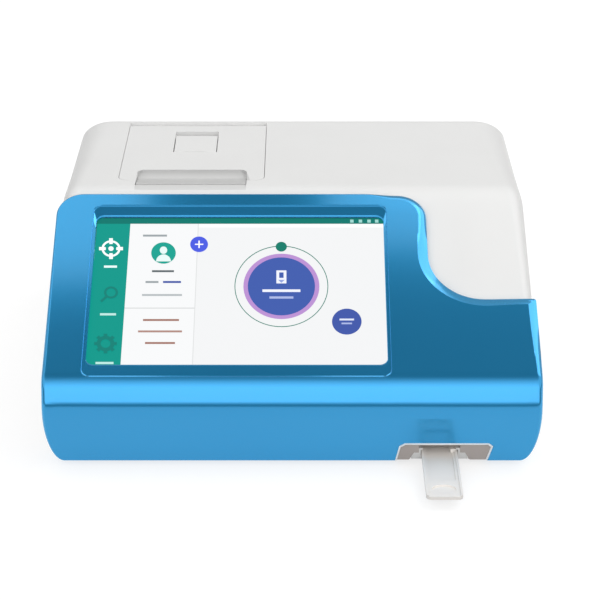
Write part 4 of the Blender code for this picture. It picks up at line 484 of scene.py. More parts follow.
def settle(made: bpy.types.Object) -> bpy.types.Object:
    """Apply every modifier of an object to its mesh."""
    graph = bpy.context.evaluated_depsgraph_get()
    mesh = bpy.data.meshes.new_from_object(made.evaluated_get(graph))
    made.modifiers.clear()
    made.data = mesh
    return made


def soften(made: bpy.types.Object, width: float, angle: float) -> None:
    """Bevel the edges that turn by more than an angle in degrees, and apply it."""
    bevel = made.modifiers.new("soft edges", "BEVEL")
    bevel.width = width
    bevel.segments = 2
    bevel.limit_method = "ANGLE"
    bevel.angle_limit = radians(angle)
    settle(made)


def weigh(made: bpy.types.Object) -> None:
    """Weigh the normals by the size of the faces, up to the sharp edges."""
    change = made.modifiers.new("weighted normals", "WEIGHTED_NORMAL")
    change.keep_sharp = True


def carve(made: bpy.types.Object, cutters: Iterable[bpy.types.Object],
          operation: str = "DIFFERENCE", solver: str = "EXACT") -> bpy.types.Object:
    """Cut, join or intersect an object with others, then delete the others."""
    others = list(cutters)
    for other in others:
        change = made.modifiers.new(other.name, "BOOLEAN")
        change.operation = operation
        change.object = other
        change.solver = solver
    settle(made)
    for other in others:
        bpy.data.objects.remove(other, do_unlink=True)
    return made


@dataclass(frozen=True)
class Corner:
    """A corner of a flat outline, with the edge treatment that holds there.

    The edge drops over ``width`` by ``drop``, rounded, or bevelled as ``bevel`` nears 1, and
    the wall below it ends at ``depth``.
    """

    x: float
    y: float
    radius: float = 0.0
    width: float = 0.0
    drop: float = 0.0
    bevel: float = 0.0
    depth: float = 0.0


class Outline:
    """A counter-clockwise outline of corners that can be inset by a different width anywhere.

    A point of a rounded corner is K + inset * m + max(R - turn_sign * inset, 0) * q: K is the
    sharp corner, m its mitre and q the place on a fillet of unit radius.
    """

    def __init__(self, corners: Sequence[Corner], arc_step: float = radians(6),
                 edge_step: float = 6 * MM) -> None:
        """Sample the corners' arcs and the straight edges between them."""
        anchors: list[list[float]] = []
        spans: list[tuple[int, int]] = []
        for index, corner in enumerate(corners):
            here = np.array([corner.x, corner.y])
            before = corners[index - 1]
            after = corners[(index + 1) % len(corners)]
            come = here - np.array([before.x, before.y])
            leave = np.array([after.x, after.y]) - here
            come, leave = come / np.hypot(*come), leave / np.hypot(*leave)
            turn = float(np.arctan2(come[0] * leave[1] - come[1] * leave[0], come @ leave))
            left_in, left_out = np.array([-come[1], come[0]]), np.array([-leave[1], leave[0]])
            mitre = (left_in + left_out) / (1 + left_in @ left_out)
            steps = max(1, int(np.ceil(abs(turn) / arc_step))) if corner.radius else 0
            spans.append((len(anchors), len(anchors) + steps))
            sense = 1.0 if turn >= 0 else -1.0
            for step in range(steps + 1):
                angle = turn * (step / steps - 0.5) if steps else 0.0
                middle = (left_in + left_out) / np.hypot(*(left_in + left_out))
                swing = np.array([middle[0] * cos(angle) - middle[1] * sin(angle),
                                  middle[0] * sin(angle) + middle[1] * cos(angle)])
                fillet = sense * (middle / cos(turn / 2) - swing)
                anchors.append([*here, *mitre, *fillet, corner.radius, sense, corner.width,
                                corner.drop, corner.bevel, corner.depth])
        table = np.array(anchors)
        first, second, share = [], [], []
        for index, (start, end) in enumerate(spans):
            first += list(range(start, end + 1))
            second += list(range(start, end + 1))
            share += [0.0] * (end + 1 - start)
            following = spans[(index + 1) % len(spans)][0]
            gap = np.hypot(*(table[following, :2] - table[end, :2]))
            count = max(1, int(gap / edge_step))
            first += [end] * (count - 1)
            second += [following] * (count - 1)
            share += [k / count for k in range(1, count)]
        self.first, self.second = table[first], table[second]
        self.share = np.array(share)[:, None]

    @staticmethod
    def _place(rows: Array, inset: Array) -> Array:
        """The points of anchor rows at their insets, by the class's formula."""
        radius = np.maximum(rows[:, 6:7] - rows[:, 7:8] * inset, 0.0)
        return rows[:, 0:2] + inset * rows[:, 2:4] + radius * rows[:, 4:6]

    def at(self, inset: Array | float) -> Array:
        """Points inset by one width, or by a width for each point."""
        wide = np.broadcast_to(np.asarray(inset, float).reshape(-1, 1), self.share.shape)
        return (self._place(self.first, wide) * (1 - self.share)
                + self._place(self.second, wide) * self.share)

    def value(self, column: int) -> Array:
        """One of the corners' treatment values, eased along the edges between corners."""
        ease = smooth(self.share[:, 0])
        return self.first[:, column] * (1 - ease) + self.second[:, column] * ease

    def rim(self, steps: int = 7) -> Array:
        """Rings from the flat face over the edge and down the wall.

        A ring at angle a lies inset by width * (1 - sin a) and deep by drop * (1 - cos a),
        mixed with a straight bevel by the bevel share; two last rings make the wall.

        Returns:
            Points x, y, -depth, of shape (rings, points, 3).
        """
        width, drop, bevel, depth = (self.value(column) for column in (8, 9, 10, 11))
        rings = []
        for step in range(steps + 1):
            angle = pi / 2 * step / steps
            inset = width * ((1 - bevel) * (1 - sin(angle)) + bevel * (1 - step / steps))
            low = drop * ((1 - bevel) * (1 - cos(angle)) + bevel * step / steps)
            rings.append(np.column_stack([self.at(inset), -low]))
        for share in (0.5, 1.0):
            low = drop + (np.maximum(depth, drop) - drop) * share
            rings.append(np.column_stack([self.at(0.0), -low]))
        return np.array(rings)


def flat_sheet(name: str, rings: Array, holes: Sequence[Array]) -> bpy.types.Object:
    """A sheet from edge rings whose first ring bounds the flat face, with ringed holes.

    Args:
        name: the object's name.
        rings: rings of points, the first round the flat face.
        holes: for each hole, rings of points, the first at the flat face.

    Returns:
        The object in its flat, unbent place, unlinked from any body.
    """
    form = bmesh.new()
    for block in (rings, *holes):
        verts = [form.verts.new(point) for point in block.reshape(-1, 3)]
        for quad in grid_quads(block.shape[0], block.shape[1], closed=True):
            form.faces.new([verts[k] for k in quad])
    bmesh.ops.remove_doubles(form, verts=form.verts, dist=SAME_POINT)
    edges = [edge for edge in form.edges if edge.is_boundary
             and all(abs(vert.co.z) < SAME_POINT / 2 for vert in edge.verts)]
    bmesh.ops.triangle_fill(form, edges=edges, use_beauty=True)
    mesh = bpy.data.meshes.new(name)
    form.to_mesh(mesh)
    form.free()
    return link(name, mesh)


class Profile:
    """The casing's side view as a path of straight runs and fillets, open at both ends.

    The path's measure is the length along the sharp corners.  On a fillet the direction turns
    evenly over the two tangent lengths, and past its ends the path runs straight on.
    """

    def __init__(self, corners: Array, radii: Sequence[float]) -> None:
        """Keep the corners, the runs' directions and where each fillet starts and ends."""
        self.corners = np.asarray(corners, float)
        runs = np.diff(self.corners, axis=0)
        lengths = np.hypot(runs[:, 0], runs[:, 1])
        self.along = runs / lengths[:, None]
        self.marks = np.concatenate([[0.0], np.cumsum(lengths)])
        self.radii = np.asarray(radii, float)
        self.slopes = np.arctan2(self.along[:, 1], self.along[:, 0])
        self.reach = self.radii * np.tan(np.abs(np.diff(self.slopes)) / 2)

    def place(self, measure: Array) -> tuple[Array, Array]:
        """Points and outward normals at measures along the path.

        Returns:
            Rows of y, z on the path, and rows of the unit normals there.
        """
        measure = np.asarray(measure, float)
        run = np.clip(np.searchsorted(self.marks, measure) - 1, 0, len(self.along) - 1)
        points = self.corners[run] + self.along[run] * (measure - self.marks[run])[:, None]
        slope = self.slopes[run].copy()
        for k, reach in enumerate(self.reach):
            mark = self.marks[k + 1]
            inside = np.abs(measure - mark) < reach
            share = (measure[inside] - mark + reach) / (2 * reach)
            slope[inside] = self.slopes[k] + (self.slopes[k + 1] - self.slopes[k]) * share
            start = self.corners[k + 1] - self.along[k] * reach
            sense = np.sign(self.slopes[k + 1] - self.slopes[k])
            side = np.array([-self.along[k][1], self.along[k][0]]) * sense
            centre = start + side * self.radii[k]
            turned = np.column_stack([np.sin(slope[inside]), -np.cos(slope[inside])]) * sense
            points[inside] = centre + turned * self.radii[k]
        normals = np.column_stack([-np.sin(slope), np.cos(slope)])
        return points, normals


@dataclass(frozen=True)
class Wrap:
    """How a bent sheet's walls run inwards: square to the skin, then towards a focus.

    Past ``straight`` a wall point at depth d lies a share (d - straight) / (full - straight)
    of the way to the inner skin, which is the sharp side view moved in by ``full``.
    """

    straight: float
    full: float
    focus: Array

    def inner(self, profile: Profile, base: Array) -> tuple[Array, Array]:
        """The directions towards the focus, and how far off the inner skin is that way."""
        aim = self.focus - base
        aim /= np.hypot(aim[:, 0], aim[:, 1])[:, None]
        inward = np.column_stack([profile.along[:, 1], -profile.along[:, 0]])
        start = profile.corners[:-1] + inward * self.full
        gap = np.einsum("rpc,rc->pr", start[:, None, :] - base[None, :, :], inward)
        return aim, (gap / (aim @ inward.T)).max(axis=1)


def bend(made: bpy.types.Object, profile: Profile, rows: Array, wrap: Wrap) -> bpy.types.Object:
    """Bend a flat sheet onto the casing's side view.

    The sheet's y is the measure along the profile and its z the height off it: a point is
    C(y) + z N(y) down to the wrap's straight depth, and follows the wrap's rule below it.

    Args:
        made: the flat sheet.
        profile: the side view.
        rows: measures at which the sheet is creased first, so that it can bend.
        wrap: the rule for the walls.

    Returns:
        The same object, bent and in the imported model's frame.
    """
    with editing(made.data) as form:
        for row in rows:
            everything = form.verts[:] + form.edges[:] + form.faces[:]
            bmesh.ops.bisect_plane(form, geom=everything, dist=0.01 * MM, plane_co=(0, row, 0),
                                   plane_no=(0, 1, 0))
    flat = places(made.data)
    points, normals = profile.place(flat[:, 1])
    base = points + normals * np.maximum(flat[:, 2:3], -wrap.straight)
    aim, reach = wrap.inner(profile, base)
    share = np.maximum(-flat[:, 2] - wrap.straight, 0.0) / (wrap.full - wrap.straight)
    placed = base + aim * (reach * share)[:, None]
    bent = to_world(np.column_stack([flat[:, 0], placed]))
    made.data.vertices.foreach_set("co", bent.ravel())
    made.data.update()
    return made


# The blue front cover

@dataclass
class FrontCover:
    """The glossy blue cover: a flat sheet with edges, window and port, bent over the front.

    The sheet's x runs across the casing and its y up the front, the band and the slope.
    """

    half: float = 130.5 * MM
    lip: float = 30.0 * MM
    band_back: float = 5.6 * MM
    band_up: float = 15.4 * MM
    top_back: float = 114.5 * MM
    top_up: float = 104.6 * MM
    lip_edge: float = 30.0 * MM
    crease: float = 12.0 * MM
    corner_across: float = 10.5 * MM
    corner_up: float = 28.0 * MM
    pod_right: float = 73.7 * MM
    shelf_back: float = 52.0 * MM
    swoosh: float = 29.5 * MM
    pod_left_corner: float = 14.5 * MM
    pod_right_corner: float = 15.5 * MM
    shelf_corner: float = 1.5 * MM
    side_edge: float = 2.6 * MM
    chamfer: float = 5.6 * MM
    chamfer_drop: float = 2.1 * MM
    shelf_chamfer: float = 4.6 * MM
    shelf_drop: float = 1.6 * MM
    shoulder_drop: float = 2.4 * MM
    shoulder_run: float = 34.0 * MM
    top_edge: float = 1.3 * MM
    foot_edge: float = 0.7 * MM
    wrap: float = 14.0 * MM
    tuck: float = 7.0 * MM
    port: tuple[tuple[float, float], ...] = (
        (54.2 * MM, 0.0), (56.2 * MM, 8.8 * MM), (59.0 * MM, 10.4 * MM), (103.2 * MM, 10.4 * MM),
        (105.2 * MM, 8.8 * MM), (102.6 * MM, 0.0))
    window_left: float = -107.95 * MM
    window_right: float = 49.95 * MM
    window_low: float = 10.2 * MM
    window_high: float = 108.8 * MM
    frame_side: float = 2.0 * MM
    frame_low: float = 8.4 * MM
    frame_high: float = 7.0 * MM
    frame_sink: float = 1.1 * MM
    frame_corner: float = 4.5 * MM
    frame_ease: float = 4.0 * MM
    frame_steps: tuple[tuple[float, float, float], ...] = (
        (0.0, 0.0, 0.0), (0.05, 0.35, 0.0), (0.14, 0.6, 0.0), (0.9, 0.62, 0.7), (1.0, 1.0, 0.7))
    glass_sink: float = 2.85 * MM
    focus: tuple[float, float] = (120.0 * MM, 20.0 * MM)
    bend_rows: tuple[int, int] = (7, 13)

    def profile(self) -> Profile:
        """The side view's front part, from the underside to the pod's top edge."""
        corners = np.array([(0.0, 0.0), (0.0, self.lip),
                            (self.band_back, self.lip + self.band_up),
                            (self.top_back, self.top_up)])
        return Profile(corners, (self.lip_edge, self.crease))

    def outline(self, marks: Array, slope: float) -> Outline:
        """The cover's developed outline, counter-clockwise from the lower left corner."""
        shelf = marks[2] + (self.shelf_back - self.band_back) / cos(slope)
        top = marks[3]
        turn = np.linspace(0, pi / 2, 13)
        low = [(self.corner_across * (1 - sin(a)), self.corner_up * (1 - cos(a))) for a in turn]
        foot = dict(width=self.foot_edge, drop=self.foot_edge, depth=self.wrap)
        side = dict(width=self.side_edge, drop=self.side_edge, depth=self.wrap)
        edge = dict(width=self.chamfer, drop=self.chamfer_drop, bevel=0.93, depth=self.tuck)
        shallow = dict(edge, width=self.shelf_chamfer, drop=self.shelf_drop)
        high = dict(width=self.top_edge, drop=self.top_edge, depth=self.tuck)
        shoulder = dict(width=self.chamfer * 0.9, drop=self.shoulder_drop, bevel=0.35, depth=self.tuck)

        def blend(share: float) -> dict[str, float]:
            """The edge treatment part of the way from the foot to the side."""
            return {key: foot[key] + (side[key] - foot[key]) * share for key in foot}

        shares = [float(a / (pi / 2)) for a in turn]
        left = [Corner(-self.half + x, y, **blend(share))
                for (x, y), share in zip(reversed(low), reversed(shares))]
        right = [Corner(self.half - x, y, **blend(share)) for (x, y), share in zip(low, shares)]
        port = [Corner(x, y, **foot) for x, y in self.port]
        return Outline([*left, *port, *right,
                        Corner(self.half, shelf, self.shelf_corner, **shallow),
                        Corner(self.pod_right, shelf, self.swoosh, **edge),
                        Corner(self.pod_right, top, self.pod_right_corner, **shoulder),
                        Corner(self.pod_right - self.shoulder_run, top, **high),
                        Corner(-self.half, top, self.pod_left_corner, **high)])

    def window(self, low: float) -> Array:
        """Rings from the flat face down the display frame's bevel to the glass."""
        box = (self.window_left, self.window_right, low + self.window_low, low + self.window_high)
        outer = (box[0] - self.frame_side, box[1] + self.frame_side, box[2] - self.frame_low,
                 box[3] + self.frame_high)
        ring = box_outline(*outer, self.frame_corner)
        inner = np.column_stack([np.interp(ring[:, 0], outer[:2], box[:2]),
                                 np.interp(ring[:, 1], outer[2:], box[2:])])
        high = smooth((ring[:, 1] - box[3] + self.frame_ease / 2) / self.frame_ease)
        rings = [np.column_stack([ring + (inner - ring) * share,
                                  -self.frame_sink * (sink + tilt * high)])
                 for share, sink, tilt in self.frame_steps]
        rings.append(np.column_stack([inner, np.full(len(ring), -self.glass_sink)]))
        return np.array(rings)

    def build(self, material: bpy.types.Material) -> bpy.types.Object:
        """Fill the sheet, bend it over the profile and dress it."""
        profile = self.profile()
        slope = float(profile.slopes[-1])
        rims = self.outline(profile.marks, slope).rim()
        made = flat_sheet("front_cover_skin", rims, [self.window(float(profile.marks[2]))])
        rows = np.concatenate([mark + reach * np.linspace(-1, 1, count) for mark, reach, count
                               in zip(profile.marks[1:3], profile.reach, self.bend_rows)])
        bend(made, profile, rows, Wrap(self.tuck, self.wrap, np.array(self.focus)))
        dress(made, material, Body.CASING, crease=13.0)
        weigh(made)
        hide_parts("front_cover")
        return made


# The white casing

def between(name: str, low: Array, high: Array) -> bpy.types.Object:
    """A closed body between two rings of as many points, in the casing frame."""
    count = len(low)
    ring = np.arange(count)
    mesh = bpy.data.meshes.new(name)
    mesh.from_pydata(to_world(np.vstack([low, high])).tolist(), [],
                     [*grid_quads(2, count, closed=True).tolist(), ring[::-1].tolist(),
                      (ring + count).tolist()])
    with editing(mesh) as form:
        bmesh.ops.recalc_face_normals(form, faces=form.faces)
    return link(name, mesh)


def prism(name: str, outline: Array, low: float, high: float, axis: int = 2) -> bpy.types.Object:
    """A straight-walled body: an outline carried along one axis, used to cut or to join.

    Args:
        name: the object's name.
        outline: rows of the two other coordinates in the casing frame, in x, y, z order.
        low: where the body starts along the axis.
        high: where it ends.
        axis: 0 carries it along x, 1 along y, 2 along z.

    Returns:
        The linked object.
    """
    return between(name, *(np.insert(outline, axis, level, axis=1) for level in (low, high)))


def box_outline(left: float, right: float, low: float, high: float, radius: float = 0.0) -> Array:
    """A rectangle's outline, counter-clockwise, with rounded corners where asked."""
    return Outline([Corner(left, low, radius), Corner(right, low, radius),
                    Corner(right, high, radius), Corner(left, high, radius)]).at(0.0)


@dataclass
class UpperShell:
    """The white upper casing: a skin of even wall over the slope, the top and the rear.

    The skin is a grid: rows run up the front, over the top and down the rear, columns run up
    one side, round its edge, across and down the other side.
    """

    half: float = 129.5 * MM
    edge: float = 12.0 * MM
    wall: float = 2.6 * MM
    parting: float = 38.3 * MM
    start: float = 15.0 * MM
    corner: tuple[float, float] = (121.7 * MM, 103.4 * MM)
    slope: float = atan((104.6 - 45.4) / (114.5 - 5.6))
    blend: float = 34.0 * MM
    rear: float = 241.0 * MM
    lid_centre: float = -57.7 * MM
    lid_half: float = 41.3 * MM
    lid_front: float = 136.6 * MM
    lid_corner: float = 5.0 * MM
    hinge: float = 222.5 * MM
    barrel: float = 6.4 * MM
    seam: float = 0.3 * MM
    exit_half: float = 31.4 * MM
    exit_front: float = 123.6 * MM
    exit_rear: float = 152.4 * MM
    exit_sink: float = 4.5 * MM
    lip_sink: float = 0.55 * MM
    exit_corner: float = 4.5 * MM
    slit_front: float = 130.8 * MM
    slit_rear: float = 132.4 * MM
    rim: float = 2.0 * MM
    valley: float = 0.9 * MM
    valley_across: tuple[float, float] = (84.0 * MM, 7.5 * MM)
    valley_back: tuple[float, float] = (128.0 * MM, 45.0 * MM)
    valley_up: tuple[float, float] = (60.0 * MM, 12.0 * MM)
    edges: tuple[tuple[float, float, float], ...] = (
        (40.0, 5.0, 5.5), (110.0, 8.5, 9.0), (160.0, 13.0, 12.0), (229.0, 19.0, 12.0))
    slope_end: float = 104.0 * MM
    blend_rows: tuple[float, float] = (105.0 * MM, 142.0 * MM)
    top_start: float = 145.0 * MM
    # greys of the painted shade in the paper exit, front to back
    shades: tuple[tuple[float, float], ...] = (
        (0.0, 0.9), (0.22, 0.84), (0.29, 0.84), (0.31, 0.72), (0.85, 0.74), (0.97, 0.6))
    lap: float = 5.0 * MM
    tongue_lip: float = 0.3 * MM
    tongue_run: float = 14.5 * MM
    tongue_left: float = 1.3 * MM
    cap_half: float = 6.0 * MM
    cap_front: float = 181.6 * MM
    cap_rear: float = 185.4 * MM
    cap_thick: float = 0.35 * MM
    pod_gap: float = 0.25 * MM
    pod_reach: float = 30.0 * MM
    pod_lift: float = 6.0 * MM
    pod_side: float = 128.0 * MM
    pod_widen: float = 0.05
    hair: float = 0.05 * MM
    rim_depth: float = 9.0 * MM
    room_depth: float = 10.0 * MM
    opening_depth: float = 8.0 * MM
    slit_depth: float = 12.0 * MM
    lap_depth: float = 7.0 * MM

    def height(self, depth: Array, inset: float) -> tuple[Array, Array]:
        """Height and slope of the skin's crown at depths: the slope, an arc, then level.

        Args:
            depth: distances back from the lower front face.
            inset: how far inside the outer skin.

        Returns:
            Heights, and the angle of the skin there.
        """
        reach = self.blend * tan(self.slope / 2)
        centre = np.array([self.corner[0] + reach, self.corner[1] - self.blend])
        radius = self.blend - inset
        angle = np.clip(np.arcsin(np.clip((centre[0] - depth) / radius, -1, 1)), 0, self.slope)
        arc = centre[1] + radius * np.cos(angle)
        tangent = centre[0] - radius * sin(self.slope)
        straight = centre[1] + radius * cos(self.slope) + (depth - tangent) * tan(self.slope)
        return np.where(depth < tangent, straight, arc), np.where(depth < tangent, self.slope, angle)

    def rounding(self, depth: Array) -> tuple[Array, Array]:
        """Width and height of the edge's ellipse at depths: tight in front, generous behind."""
        station, wide, high = np.array(self.edges).T * MM
        return np.interp(depth, station, wide), np.interp(depth, station, high)

    def skin(self, inset: float) -> Array:
        """The grid of points of the skin at an inset, of shape (rows, columns, 3).

        A section at depth y climbs from the parting up the side, rounds the edge on an ellipse
        as wide and high as ``rounding`` says, and crosses level.  The rear rounds about the
        line ``edge`` in from the rear and the top, and its corners ease into the base's.
        """
        share = np.linspace(0, 1, 13)
        wall = 1 - share[:-1]
        turn = np.linspace(0, pi / 2, 15)
        across = np.linspace(-1, 1, 45)[1:-1]
        half = self.half - inset
        depth = np.concatenate([np.linspace(self.start, self.slope_end, 36),
                                np.linspace(*self.blend_rows, 36),
                                np.linspace(self.top_start, self.rear - self.edge, 24)])
        crown, angle = self.height(depth, inset)
        wide, high = (value - inset for value in self.rounding(depth))
        high = high / np.cos(angle)
        foot = np.maximum(crown - high, self.parting)
        first = np.arcsin(np.clip((foot - crown + high) / high, 0, 1))
        swing = first[:, None] + (pi / 2 - first[:, None]) * (turn / (pi / 2))[None, :]
        rim_x = half - wide[:, None] * (1 - np.cos(swing))
        rim_z = (crown - high)[:, None] + high[:, None] * np.sin(swing)
        side_z = self.parting + (foot - self.parting)[:, None] * (1 - wall)[None, :]
        side_x = np.broadcast_to(rim_x[:, :1], side_z.shape)
        flat_x = across[None, :] * (half - wide)[:, None]
        flat_z = np.broadcast_to(crown[:, None], (len(depth), len(across)))
        x = np.hstack([-side_x, -rim_x, np.broadcast_to(flat_x, flat_z.shape), rim_x[:, ::-1],
                       side_x[:, ::-1]])
        z = np.hstack([side_z, rim_z, flat_z, rim_z[:, ::-1], side_z[:, ::-1]])
        y = np.broadcast_to(depth[:, None], x.shape)
        front = np.stack([x, y, z], axis=-1)
        last = front[-1]
        pivot = self.corner[1] - self.edge
        rise = np.maximum(last[:, 2] - pivot, 0.0)
        swing = turn[1:, None]
        turned = np.stack([np.broadcast_to(last[:, 0], (len(turn) - 1, len(last))),
                           last[:, 1] + rise * np.sin(swing),
                           np.where(last[:, 2] > pivot, pivot + rise * np.cos(swing), last[:, 2])],
                          axis=-1)
        end = turned[-1]
        down = self.parting + (pivot - self.parting) * (1 - share)[:, None]
        square = half - (half - np.abs(end[:, 0])) * (self.edge - inset) / wide[-1]
        square = np.where(np.abs(end[:, 0]) > half - wide[-1], np.sign(end[:, 0]) * square,
                          end[:, 0] * (half - self.edge + inset) / (half - wide[-1]))
        drop = np.stack([end[:, 0] + (square - end[:, 0]) * smooth(share)[:, None],
                         np.broadcast_to(end[:, 1], (len(share), len(end))),
                         np.minimum(end[:, 2], down)], axis=-1)
        return self.ease(np.vstack([front, turned, drop[1:]]))

    def ease(self, grid: Array) -> Array:
        """Sink a shallow valley beside the display pod: depth falls off as a bell both ways."""
        x, y, z = grid[..., 0], grid[..., 1], grid[..., 2]
        (middle, wide), (back, run), (foot, rise) = (self.valley_across, self.valley_back,
                                                     self.valley_up)
        across = np.exp(-(((x - middle) / wide) ** 2))
        along = smooth((back - y) / run) * smooth((z - foot) / rise)
        grid[..., 2] = z - self.valley * across * along
        return grid

    def body(self) -> bpy.types.Object:
        """Join the outer and the inner skin along their borders into one closed body."""
        outer, inner = self.skin(0.0), self.skin(self.wall)
        rows, columns = outer.shape[:2]
        count = rows * columns
        cells = grid_quads(rows, columns)
        number = np.arange(count).reshape(rows, columns)
        loop = np.concatenate([number[0, :-1], number[:-1, -1], number[-1, :0:-1], number[:0:-1, 0]])
        ahead = np.roll(loop, -1)
        strip = np.column_stack([loop, ahead, ahead + count, loop + count])
        points = to_world(np.vstack([outer.reshape(-1, 3), inner.reshape(-1, 3)]))
        mesh = bpy.data.meshes.new("upper_shell")
        mesh.from_pydata(points.tolist(), [], np.vstack([cells, cells[:, ::-1] + count,
                                                         strip]).tolist())
        with editing(mesh) as form:
            bmesh.ops.remove_doubles(form, verts=form.verts, dist=0.005 * MM)
            bmesh.ops.dissolve_degenerate(form, edges=form.edges, dist=SAME_POINT)
            bmesh.ops.recalc_face_normals(form, faces=form.faces)
            log.info("upper shell open edges: %d",
                     sum(not edge.is_manifold for edge in form.edges))
        return link("upper_shell", mesh)

    def exit_shade(self) -> Hollow:
        """The paper exit's painted shade, for the white moulding's finish."""
        return Hollow(self.lid_centre, self.exit_half, self.exit_front + FRONT_Y,
                      self.exit_rear + FRONT_Y, self.corner[1] + FOOT_HEIGHT - 0.06 * MM,
                      self.shades)

    def laps(self) -> list[bpy.types.Object]:
        """Cutters for the tongue's two ends, which the casing's top covers here."""
        out = self.exit_half - self.seam
        return [prism(name, box_outline(*sorted((self.lid_centre + out * side,
                                                 self.lid_centre + (out + self.lap) * side)),
                                        self.slit_rear - MM, self.lid_front - self.seam / 3),
                      self.corner[1] - self.lap_depth, self.corner[1] + MM)
                for name, side in (("left_lap", -1), ("right_lap", 1))]

    def tongue(self) -> bpy.types.Object:
        """The lid's tongue: a rounded lip at the slit that dips into the cove behind it."""
        top = self.corner[1]
        run = np.linspace(0, 1, 13)
        lip, low = top - self.lip_sink, top - self.exit_sink - self.tongue_lip
        dip = lip - (self.exit_sink - self.lip_sink - self.tongue_left) * smooth(run)
        start = self.slit_rear + 2 * self.tongue_lip
        side = np.vstack([[(self.slit_rear, lip - self.tongue_lip),
                           (self.slit_rear + self.tongue_lip, lip)],
                          np.column_stack([start + self.tongue_run * run, dip]),
                          [(start + self.tongue_run, low), (self.slit_rear, low)]])
        out = self.exit_half - self.seam
        return prism("tongue", side, self.lid_centre - out, self.lid_centre + out, 0)

    def tab_cap(self) -> bpy.types.Object:
        """A thin cap that closes the release tab's spring room from above."""
        top = self.corner[1] - 0.4 * MM
        plan = box_outline(self.lid_centre - self.cap_half, self.lid_centre + self.cap_half,
                           self.cap_front, self.cap_rear)
        return prism("tab_cap", plan, top - self.cap_thick, top - 0.01 * MM)

    def exit_body(self, name: str) -> bpy.types.Object:
        """The paper exit's room: a ramp down to the slit, then level, inside a rounded plan."""
        floor, top = self.corner[1] - self.lip_sink, self.corner[1] + 4 * MM
        start = float(self.height(np.array([self.exit_front]), 0.0)[0][0]) - 0.12 * MM
        side = np.array([(self.exit_front, start), (self.slit_front, floor),
                         (self.exit_rear, floor), (self.exit_rear, top), (self.exit_front, top)])
        sides = (self.lid_centre - self.exit_half, self.lid_centre + self.exit_half)
        room = prism(name, side, *sides, 0)
        plan = prism(name + "_plan", box_outline(*sides, self.exit_front, self.exit_rear,
                                                 self.exit_corner), floor - MM, top + MM)
        return carve(room, [plan], "INTERSECT")

    def pod_room(self, cover: "FrontCover") -> bpy.types.Object:
        """The room the blue cover takes: its outline carried square to the slope."""
        profile = cover.profile()
        marks = profile.marks
        plan = cover.outline(marks, float(profile.slopes[-1])).at(-self.pod_gap)
        plan = plan[plan[:, 1] > marks[2] - self.pod_reach]
        along = np.array([cos(self.slope), sin(self.slope)])
        out = np.array([-along[1], along[0]])
        start = profile.corners[2]
        wide = plan[:, 0] * (1 + (np.abs(plan[:, 0]) > self.pod_side) * self.pod_widen)
        levels = [np.column_stack([wide, start + (plan[:, 1:2] - marks[2]) * along + out * lift])
                  for lift in (self.pod_lift, -cover.tuck - self.seam)]
        return between("pod_room", *levels)

    def build(self, material: bpy.types.Material, cover: "FrontCover") -> bpy.types.Object:
        """Cut the lid's opening, the paper exit and the pod out of the skin and dress it."""
        made = self.body()
        centre, top = self.lid_centre, self.corner[1]
        half = self.lid_half + self.seam
        front, rear = self.lid_front - self.seam, self.hinge + self.barrel
        under = top - self.wall / 2
        pad = prism("exit_pad", box_outline(centre - self.exit_half - self.rim,
                                            centre + self.exit_half + self.rim,
                                            self.exit_front - self.wall, self.slit_front),
                    top - self.exit_sink + self.seam, under)
        rims = prism("lid_rim", box_outline(centre - half - self.rim, centre + half + self.rim,
                                            self.slit_front - MM, rear + self.rim),
                     top - self.rim_depth, under)
        carve(made, [pad, rims], "UNION")
        room = prism("rim_room", box_outline(centre - half, centre + half, front, rear),
                     top - self.room_depth, top - self.wall / 4)
        plan = Outline([Corner(centre - half, front, self.lid_corner + self.seam),
                        Corner(centre + half, front, self.lid_corner + self.seam),
                        Corner(centre + half, rear), Corner(centre - half, rear)]).at(0.0)
        opening = prism("lid_opening", plan, top - self.opening_depth, top + MM)
        ends = self.exit_half + self.hair
        slit = prism("slit_room", box_outline(centre - ends, centre + ends,
                                              self.slit_front, self.lid_front + MM),
                     top - self.slit_depth, top + MM)
        carve(made, [room, opening, slit, self.exit_body("cover_exit"), self.pod_room(cover)])
        soften(made, 0.25 * MM, 40.0)
        dress(made, material, Body.CASING, crease=35.0)
        weigh(made)
        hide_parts("upper_cover")
        return made


# The printer's lid, the card tray and what shows through openings

